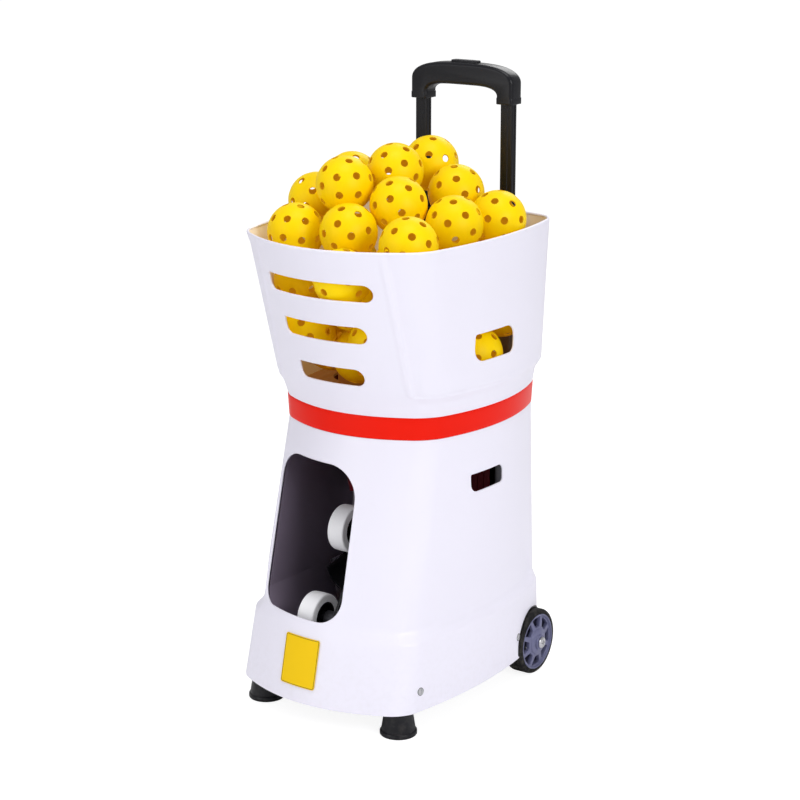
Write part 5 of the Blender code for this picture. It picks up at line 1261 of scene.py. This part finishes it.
# %% The launch rollers
ROLLER_RADIUS = 0.031
TREAD_BORE = 0.0205
HOLES_IN_HUB = 6
TREAD_LOW_X, TREAD_HIGH_X = -0.0465, -0.0215
TREAD_CROWN, TREAD_ROUND, TREAD_ARC_DROP, TREAD_WALL_DROP = 0.0006, 0.0022, 0.0026, 0.0028
CROWN_SHARE = 0.82
HUB_INSET = 0.0008
HUB_HOLE_OUT, HUB_HOLE_RADIUS = 0.0124, 0.0030


def roller(word):
    """Tread and hub of one roller."""
    middle = middle_of(word + "_tread")
    half, arc_radius = (TREAD_HIGH_X - TREAD_LOW_X) / 2, ROLLER_RADIUS - TREAD_ARC_DROP
    crown = [(middle.x + half * share, ROLLER_RADIUS - TREAD_CROWN * share * share)
             for share in np.linspace(-CROWN_SHARE, CROWN_SHARE, 9)]
    line = [(TREAD_LOW_X, TREAD_BORE), (TREAD_LOW_X, ROLLER_RADIUS - TREAD_WALL_DROP)]
    line += arc(TREAD_LOW_X + TREAD_ROUND, arc_radius, TREAD_ROUND, 175, 95, 4) + crown
    line += arc(TREAD_HIGH_X - TREAD_ROUND, arc_radius, TREAD_ROUND, 85, 5, 4)
    line += [(TREAD_HIGH_X, ROLLER_RADIUS - TREAD_WALL_DROP), (TREAD_HIGH_X, TREAD_BORE)]
    tread = spun(word + "_tread_body", "tread_white", line, middle)
    put(tread, word + "_roller", "tread_white", word + "_tread")

    high, low = TREAD_HIGH_X - HUB_INSET, TREAD_LOW_X + HUB_INSET
    line = [(high, 0.0030), (high, 0.0062), (high - 0.0006, 0.0068), (high - 0.0050, 0.0074),
            (high - 0.0054, 0.0080), (high - 0.0056, 0.0168), (high - 0.0050, 0.0176),
            (high - 0.0006, 0.0182), (high, 0.0188), (high, 0.0202), (low, 0.0202), (low, 0.0182),
            (low + 0.0060, 0.0176), (low + 0.0064, 0.0080), (low, 0.0074), (low, 0.0030)]
    hub = spun(word + "_hub_body", "black", line, middle, 72)
    hole = pushed("hole_pattern", circle(HUB_HOLE_OUT, 0.0, HUB_HOLE_RADIUS, 24), TREAD_LOW_X, TREAD_HIGH_X,
                  along_x)
    holes = grown("holes", RING_OF,
                  {"Piece": hole, "Count": HOLES_IN_HUB, "Centre": (0.0, middle.y, middle.z)})
    cut_with(hub, holes)
    put(settle(hub), word + "_roller", "black", word + "_hub")
    discard(hole, holes)
    print(word, "roller at", [round(value, 4) for value in middle])


for word in ("upper", "lower"):
    roller(word)

# %% [markdown]
# The label is a blank yellow plate. It has to hug the bowed front, so its flat outline is first sliced
# into narrow strips and then every point is moved onto the casing.

# %% The label
LABEL = (-0.0420, 0.0140, 0.0552, 0.1180)
LABEL_LIFT = 0.0009
LABEL_THICK = 0.0006
LABEL_SLICES = (((1, 0, 0), 0.003, (-0.060, 0.060)), ((0, 0, 1), 0.004, (0.04, 0.13)))  # axis, step, reach
BORDER_INSET, BORDER_RADIUS = 0.0012, 0.00028


def wrapped(name, outline, lift, thick, finish_name):
    """Plate that follows the lower casing's front."""
    bm = bmesh.new()
    prism(bm, outline, 0.0, thick, along_y)
    for axis, step, (low, high) in LABEL_SLICES:
        for number in range(round((high - low) / step)):
            place = Vector(axis) * (low + step * number)
            geometry = bm.verts[:] + bm.edges[:] + bm.faces[:]
            bmesh.ops.bisect_plane(bm, geom=geometry, plane_co=place, plane_no=axis)
    for vertex in bm.verts:
        x, depth, z = vertex.co
        vertex.co.y = front_y(LOWER, x, z) - lift - depth
    bmesh.ops.recalc_face_normals(bm, faces=bm.faces)
    return mesh_object(name, bm, finish_name)


label = wrapped("label_sheet", rounded(*LABEL, 0.0030, 6), LABEL_LIFT, LABEL_THICK, "label_yellow")
put(label, "machine", "label_yellow", "label_plate")
low_x, high_x, low_z, high_z = LABEL
border_line = rounded(low_x + BORDER_INSET, high_x - BORDER_INSET,
                      low_z + BORDER_INSET, high_z - BORDER_INSET, 0.0022, 5, 14)
border = [(x, front_y(LOWER, x, z) - LABEL_LIFT - LABEL_THICK, z) for x, z in border_line]
bead("label_border", [border], "black", BORDER_RADIUS)
print("label:", len(label.data.polygons), "faces, left blank")

# %% [markdown]
# Every screw is the same pan head with a cross recess, made to its size and set out by the scatter tree.
# Each mark stores the way its screw faces, so the heads sit square on the sloping sides.

# %% Screws
SCREW_RADIUS = 0.0045
SCREW_PLACES = ((-0.1250, 0.0610), (0.0950, 0.0655))
SCREW_HEIGHT, SCREW_SINK = 0.0016, 0.0002
# gap and thickness of the painted shadow ring around each screw head
WASHER_GAP, WASHER_RADIUS = 0.0004, 0.0003
SCREW_PROFILE = ((1.0, 0.0), (1.0, 0.35), (0.93, 0.66), (0.72, 0.88), (0.40, 1.0))  # shares of its size


def stacked(name, finish_name, x, y, profile, steps):
    """Object with a profile of (radius, z) spun around an upright line and closed at both ends."""
    bm = bmesh.new()
    rows = [[bm.verts.new((u, v, z)) for u, v in circle(x, y, radius, steps)] for radius, z in profile]
    bmesh.ops.recalc_face_normals(bm, faces=joined(bm, rows, capped=True))
    return mesh_object(name, bm, finish_name)


def screw_pattern(radius, height):
    """Pan-head screw that faces +Z."""
    profile = [(radius * out, height * up) for out, up in SCREW_PROFILE]
    head = stacked("screw_pattern", "steel", 0.0, 0.0, profile, 32)
    bm = bmesh.new()
    long, narrow = radius * 0.58, radius * 0.13
    cross = [(long, -narrow), (long, narrow), (narrow, narrow), (narrow, long), (-narrow, long),
             (-narrow, narrow), (-long, narrow), (-long, -narrow), (-narrow, -narrow), (-narrow, -long),
             (narrow, -long), (narrow, -narrow)]
    prism(bm, cross, height * 0.45, height * 2, along_z)
    return cut_away(head, bm)


def side_normal(y, z):
    """Outward direction of the lower casing's right side."""
    x, step = side_x(LOWER, y, z), 0.004
    by_y = Vector((side_x(LOWER, y + step, z) - x, step, 0))
    by_z = Vector((side_x(LOWER, y, z + step) - x, 0, step))
    return by_y.cross(by_z).normalized()


places, facings = [], []
for side in (1, -1):
    for y, z in SCREW_PLACES:
        out = side_normal(y, z)
        spot = Vector((side_x(LOWER, y, z), y, z)) - out * SCREW_SINK
        places.append((side * spot.x, spot.y, spot.z))
        facings.append((side * out.x, out.y, out.z))
screw = screw_pattern(SCREW_RADIUS, SCREW_HEIGHT)
screws = grown("side_screws", SET_OUT, {"Piece": screw, "Roll": (0.0, 0.0, TURN), "Seed": 4,
                                        "Material": finish("steel")}, marks("screw_marks", places, facings))
put(screws, "machine", "steel", "side_screw_left_front", "side_screw_left_rear", "side_screw_right_front",
    "side_screw_right_rear")
discard(screw)
# a thin black ring around each screw head: painted shadow in the gap of its seat
seats = []
for place, out in zip(places, facings):
    out = Vector(out)
    flat = out.cross(Vector((0, 0, 1))).normalized()
    up = out.cross(flat)
    seats.append([Vector(place) + flat * u + up * v + out * SCREW_SINK
                  for u, v in circle(0.0, 0.0, SCREW_RADIUS + WASHER_GAP, 40)])
bead("screw_seats", seats, "black", WASHER_RADIUS)
print("side screws:", len(places))

# %% [markdown]
# The front feet are tapered rubber stops. They are spun like the wheels, but around an upright line,
# and get a foot ring and a shallow waist that the plain cone lacks.

# %% The front feet
# radius, height
FOOT_LINE = ((0.0190, 0.0006), (0.0205, 0.0), (0.0232, 0.0), (0.0240, 0.0010), (0.0240, 0.0050),
             (0.0232, 0.0062), (0.0222, 0.0068), (0.0186, 0.0300), (0.0186, 0.0335), (0.0175, 0.0346))


def foot(word):
    """One rubber foot."""
    low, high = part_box("front_foot_" + word)
    piece = stacked("foot_" + word, "black", (low.x + high.x) / 2, (low.y + high.y) / 2, FOOT_LINE, 64)
    return put(piece, "machine", "black", "front_foot_" + word)


for word in ("left", "right"):
    made = foot(word)
    print(made.name, len(made.data.polygons), "faces")

# %% [markdown]
# The pieces inside keep the frame's shapes. Their edges are broken with a small bevel, because a
# perfectly sharp edge never catches the light the way a made one does. The frame's mesh is loose
# triangles, so a copy is merged and its flat faces joined before the bevel. The floor and the rotor are
# painted amber for the light that yellow balls throw on them. That is a trick of this picture: their
# own slot is grey, and with the balls lifted out they look warmer than real ones would.

# %% Softened pieces
SOFTENED = {
    # piece: width of the broken edge
    "port_shroud": 0.0012, "drop_chute": 0.0008, "yoke_frame": 0.0008, "head_plate": 0.0008,
    "ball_trough": 0.0006, "feed_rotor": 0.0008, "hopper_floor": 0.0006, "base_plate": 0.0006,
    "handle_guide": 0.0012,
    "handle_sleeve_left": 0.0004, "handle_sleeve_right": 0.0004, "rear_panel": 0.0010, "power_rocker": 0.0008,
    "speed_key_plus": 0.0005, "speed_key_minus": 0.0005, "display_window": 0.0004, "battery_pack": 0.0030,
    "control_board": 0.0002, "feed_motor": 0.0008, "upper_motor": 0.0008, "lower_motor": 0.0008,
    "yaw_motor": 0.0008, "pitch_motor": 0.0008, "yaw_bearing": 0.0005, "yaw_turntable": 0.0003,
    "yaw_pinion": 0.0002, "pitch_sector": 0.0003, "pitch_pinion": 0.0002, "charge_socket": 0.0003,
    "axle_bracket_left": 0.0006, "axle_bracket_right": 0.0006, "wheel_axle": 0.0004,
}
LIT_BY_BALLS = {"hopper_floor": "floor_amber", "feed_rotor": "floor_amber"}


def softened(name, width):
    """Merged copy of a frame piece with its sharp edges broken."""
    cad = frame["nodes"][name]
    bm = bmesh.new()
    bm.from_mesh(cad.data)
    bmesh.ops.remove_doubles(bm, verts=bm.verts, dist=0.00001)
    bmesh.ops.dissolve_limit(bm, angle_limit=math.radians(1.0), verts=bm.verts, edges=bm.edges)
    bm.transform(cad.matrix_world)
    piece = mesh_object(name + "_soft", bm, LIT_BY_BALLS.get(name, SLOT_OF[name]))
    bevelled(piece, width, 2, 40).harden_normals = True
    return put(settle(piece), cad["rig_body"], SLOT_OF[name], name)


for name, width in SOFTENED.items():
    softened(name, width)
print("softened pieces:", len(SOFTENED))

# %% [markdown]
# The control panel at the back is a guess, so it stays plain: a display with dark seven-bar figures,
# a key each for more and less, the rocker's on and off signs, the charge socket's ring and pin, and
# four small screws, far enough from the corners to clear the casing's edge.

# %% The control panel
PANEL_FACE_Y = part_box("rear_panel")[1].y
DISPLAY_FACE_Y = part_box("display_window")[1].y
KEY_FACE_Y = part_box("speed_key_plus")[1].y
SIGN_SINK, SIGN_THICK, SIGN_LONG, SIGN_NARROW = 0.0002, 0.0003, 0.0030, 0.0006
FIGURE_WIDTH, FIGURE_HEIGHT, FIGURE_GAP, BAR_WIDTH = 0.0066, 0.0130, 0.0040, 0.0014
ROCKER_SIGN_X, ROCKER_SIGN_Z = 0.0060, 0.0105
RING_RADIUS, PIN_RADIUS = 0.0072, 0.0010
PANEL_SCREW_X, PANEL_SCREW_Z = 0.0415, (0.2035, 0.3165)


def bar(bm, centre_x, centre_z, length, upright):
    """One bar of a seven-bar figure: a long hexagon."""
    half, wide = length / 2 - 0.0003, BAR_WIDTH / 2
    shape = [(half, 0), (half - wide, wide), (wide - half, wide), (-half, 0), (wide - half, -wide),
             (half - wide, -wide)]
    shape = [(v, u) for u, v in shape] if upright else shape
    prism(bm, [(centre_x + u, centre_z + v) for u, v in shape], DISPLAY_FACE_Y - 0.0001,
          DISPLAY_FACE_Y + 0.0001, along_y)


middle = middle_of("display_window")
bm = bmesh.new()
for number in (-1, 0, 1):
    x = middle.x + number * (FIGURE_WIDTH + FIGURE_GAP)
    for level in (-1, 0, 1):
        bar(bm, x, middle.z + level * FIGURE_HEIGHT / 2, FIGURE_WIDTH, False)
    for side in (-1, 1):
        for level in (-1, 1):
            bar(bm, x + side * FIGURE_WIDTH / 2, middle.z + level * FIGURE_HEIGHT / 4,
                FIGURE_HEIGHT / 2, True)
put(mesh_object("display_bars", bm, "figure_grey"), "machine", "display_glass")

for word, strokes in (("plus", ((SIGN_LONG, SIGN_NARROW), (SIGN_NARROW, SIGN_LONG))),
                      ("minus", ((SIGN_LONG, SIGN_NARROW),))):
    key = middle_of("speed_key_" + word)
    bm = bmesh.new()
    for half_x, half_z in strokes:
        prism(bm, block(key.x, key.z, half_x, half_z, 0.0003, 2), KEY_FACE_Y - SIGN_SINK,
              KEY_FACE_Y + SIGN_THICK, along_y)
    put(mesh_object(word + "_sign", bm, "black"), word + "_key", "black")

rocker = middle_of("power_rocker")
bm = bmesh.new()
low, high = PANEL_FACE_Y - SIGN_SINK, PANEL_FACE_Y + SIGN_THICK
prism(bm, block(rocker.x - ROCKER_SIGN_X, rocker.z + ROCKER_SIGN_Z, 0.0005, 0.0020, 0.0004, 2), low, high,
      along_y)
sign_place = (rocker.x + ROCKER_SIGN_X, rocker.z + ROCKER_SIGN_Z)
ring_section = ((low, 0.0021), (high, 0.0021), (high, 0.0014), (low, 0.0014))
rows = [[bm.verts.new((u, y, v)) for u, v in circle(*sign_place, radius, 32)] for y, radius in ring_section]
bmesh.ops.recalc_face_normals(bm, faces=joined(bm, rows, looped=True))
put(mesh_object("power_signs", bm, "white"), "machine", "white")

socket = middle_of("charge_socket")
socket_line = [(u, PANEL_FACE_Y + 0.0002, v) for u, v in circle(socket.x, socket.z, RING_RADIUS, 48)]
bead("socket_ring", [socket_line], "steel", 0.0006)
pin = pushed("socket_pin", circle(socket.x, socket.z, PIN_RADIUS, 24), PANEL_FACE_Y - 0.0060,
             PANEL_FACE_Y - 0.0008, along_y, "steel")
put(pin, "machine", "steel")

screw = screw_pattern(0.0030, 0.0011)
places = [(x, PANEL_FACE_Y - 0.0001, z) for x in (-PANEL_SCREW_X, PANEL_SCREW_X) for z in PANEL_SCREW_Z]
panel_screws = grown("panel_screws", SET_OUT, {"Piece": screw, "Roll": (0.0, 0.0, TURN), "Seed": 9,
                                               "Material": finish("steel")},
                     marks("panel_marks", places, [(0, 1, 0)] * len(places)))
put(panel_screws, "machine", "steel")
discard(screw)
print("panel face at y =", round(PANEL_FACE_Y, 4))

# %% [markdown]
# Something dark red shows through the vent. What it is can't be told from outside, so this shield is a
# guess: a ribbed moulding over the control board that hides the electronics from the vents. It is made
# in this script only and stands for no piece of the frame.

# %% The board's shield
SHIELD = (-0.0500, 0.0500, 0.2050, 0.3250)
SHIELD_Y = (0.1700, 0.1716)
RIB_PITCH, RIB_HALF_X, RIB_INSET_Z = 0.0100, 0.0008, 0.008
STUD_X, STUD_INSET_Z, STUD_RADIUS, STUD_END_Y = 0.044, 0.006, 0.0026, 0.1800

bm = bmesh.new()
prism(bm, rounded(*SHIELD, 0.006, 6), *SHIELD_Y, along_y)
for number in range(-4, 5):
    x = number * RIB_PITCH
    rib = rounded(x - RIB_HALF_X, x + RIB_HALF_X, SHIELD[2] + RIB_INSET_Z, SHIELD[3] - RIB_INSET_Z, 0.0007, 3)
    prism(bm, rib, SHIELD_Y[0] - 0.0016, SHIELD_Y[0] + 0.0004, along_y)
for x in (-STUD_X, STUD_X):
    for z in (SHIELD[2] + STUD_INSET_Z, SHIELD[3] - STUD_INSET_Z):
        prism(bm, circle(x, z, STUD_RADIUS, 24), SHIELD_Y[1] - 0.0004, STUD_END_Y, along_y)
shield = mesh_object("board_shield", bm, "maroon")
put(shield, "machine", "maroon")
print("shield:", len(shield.data.polygons), "faces")
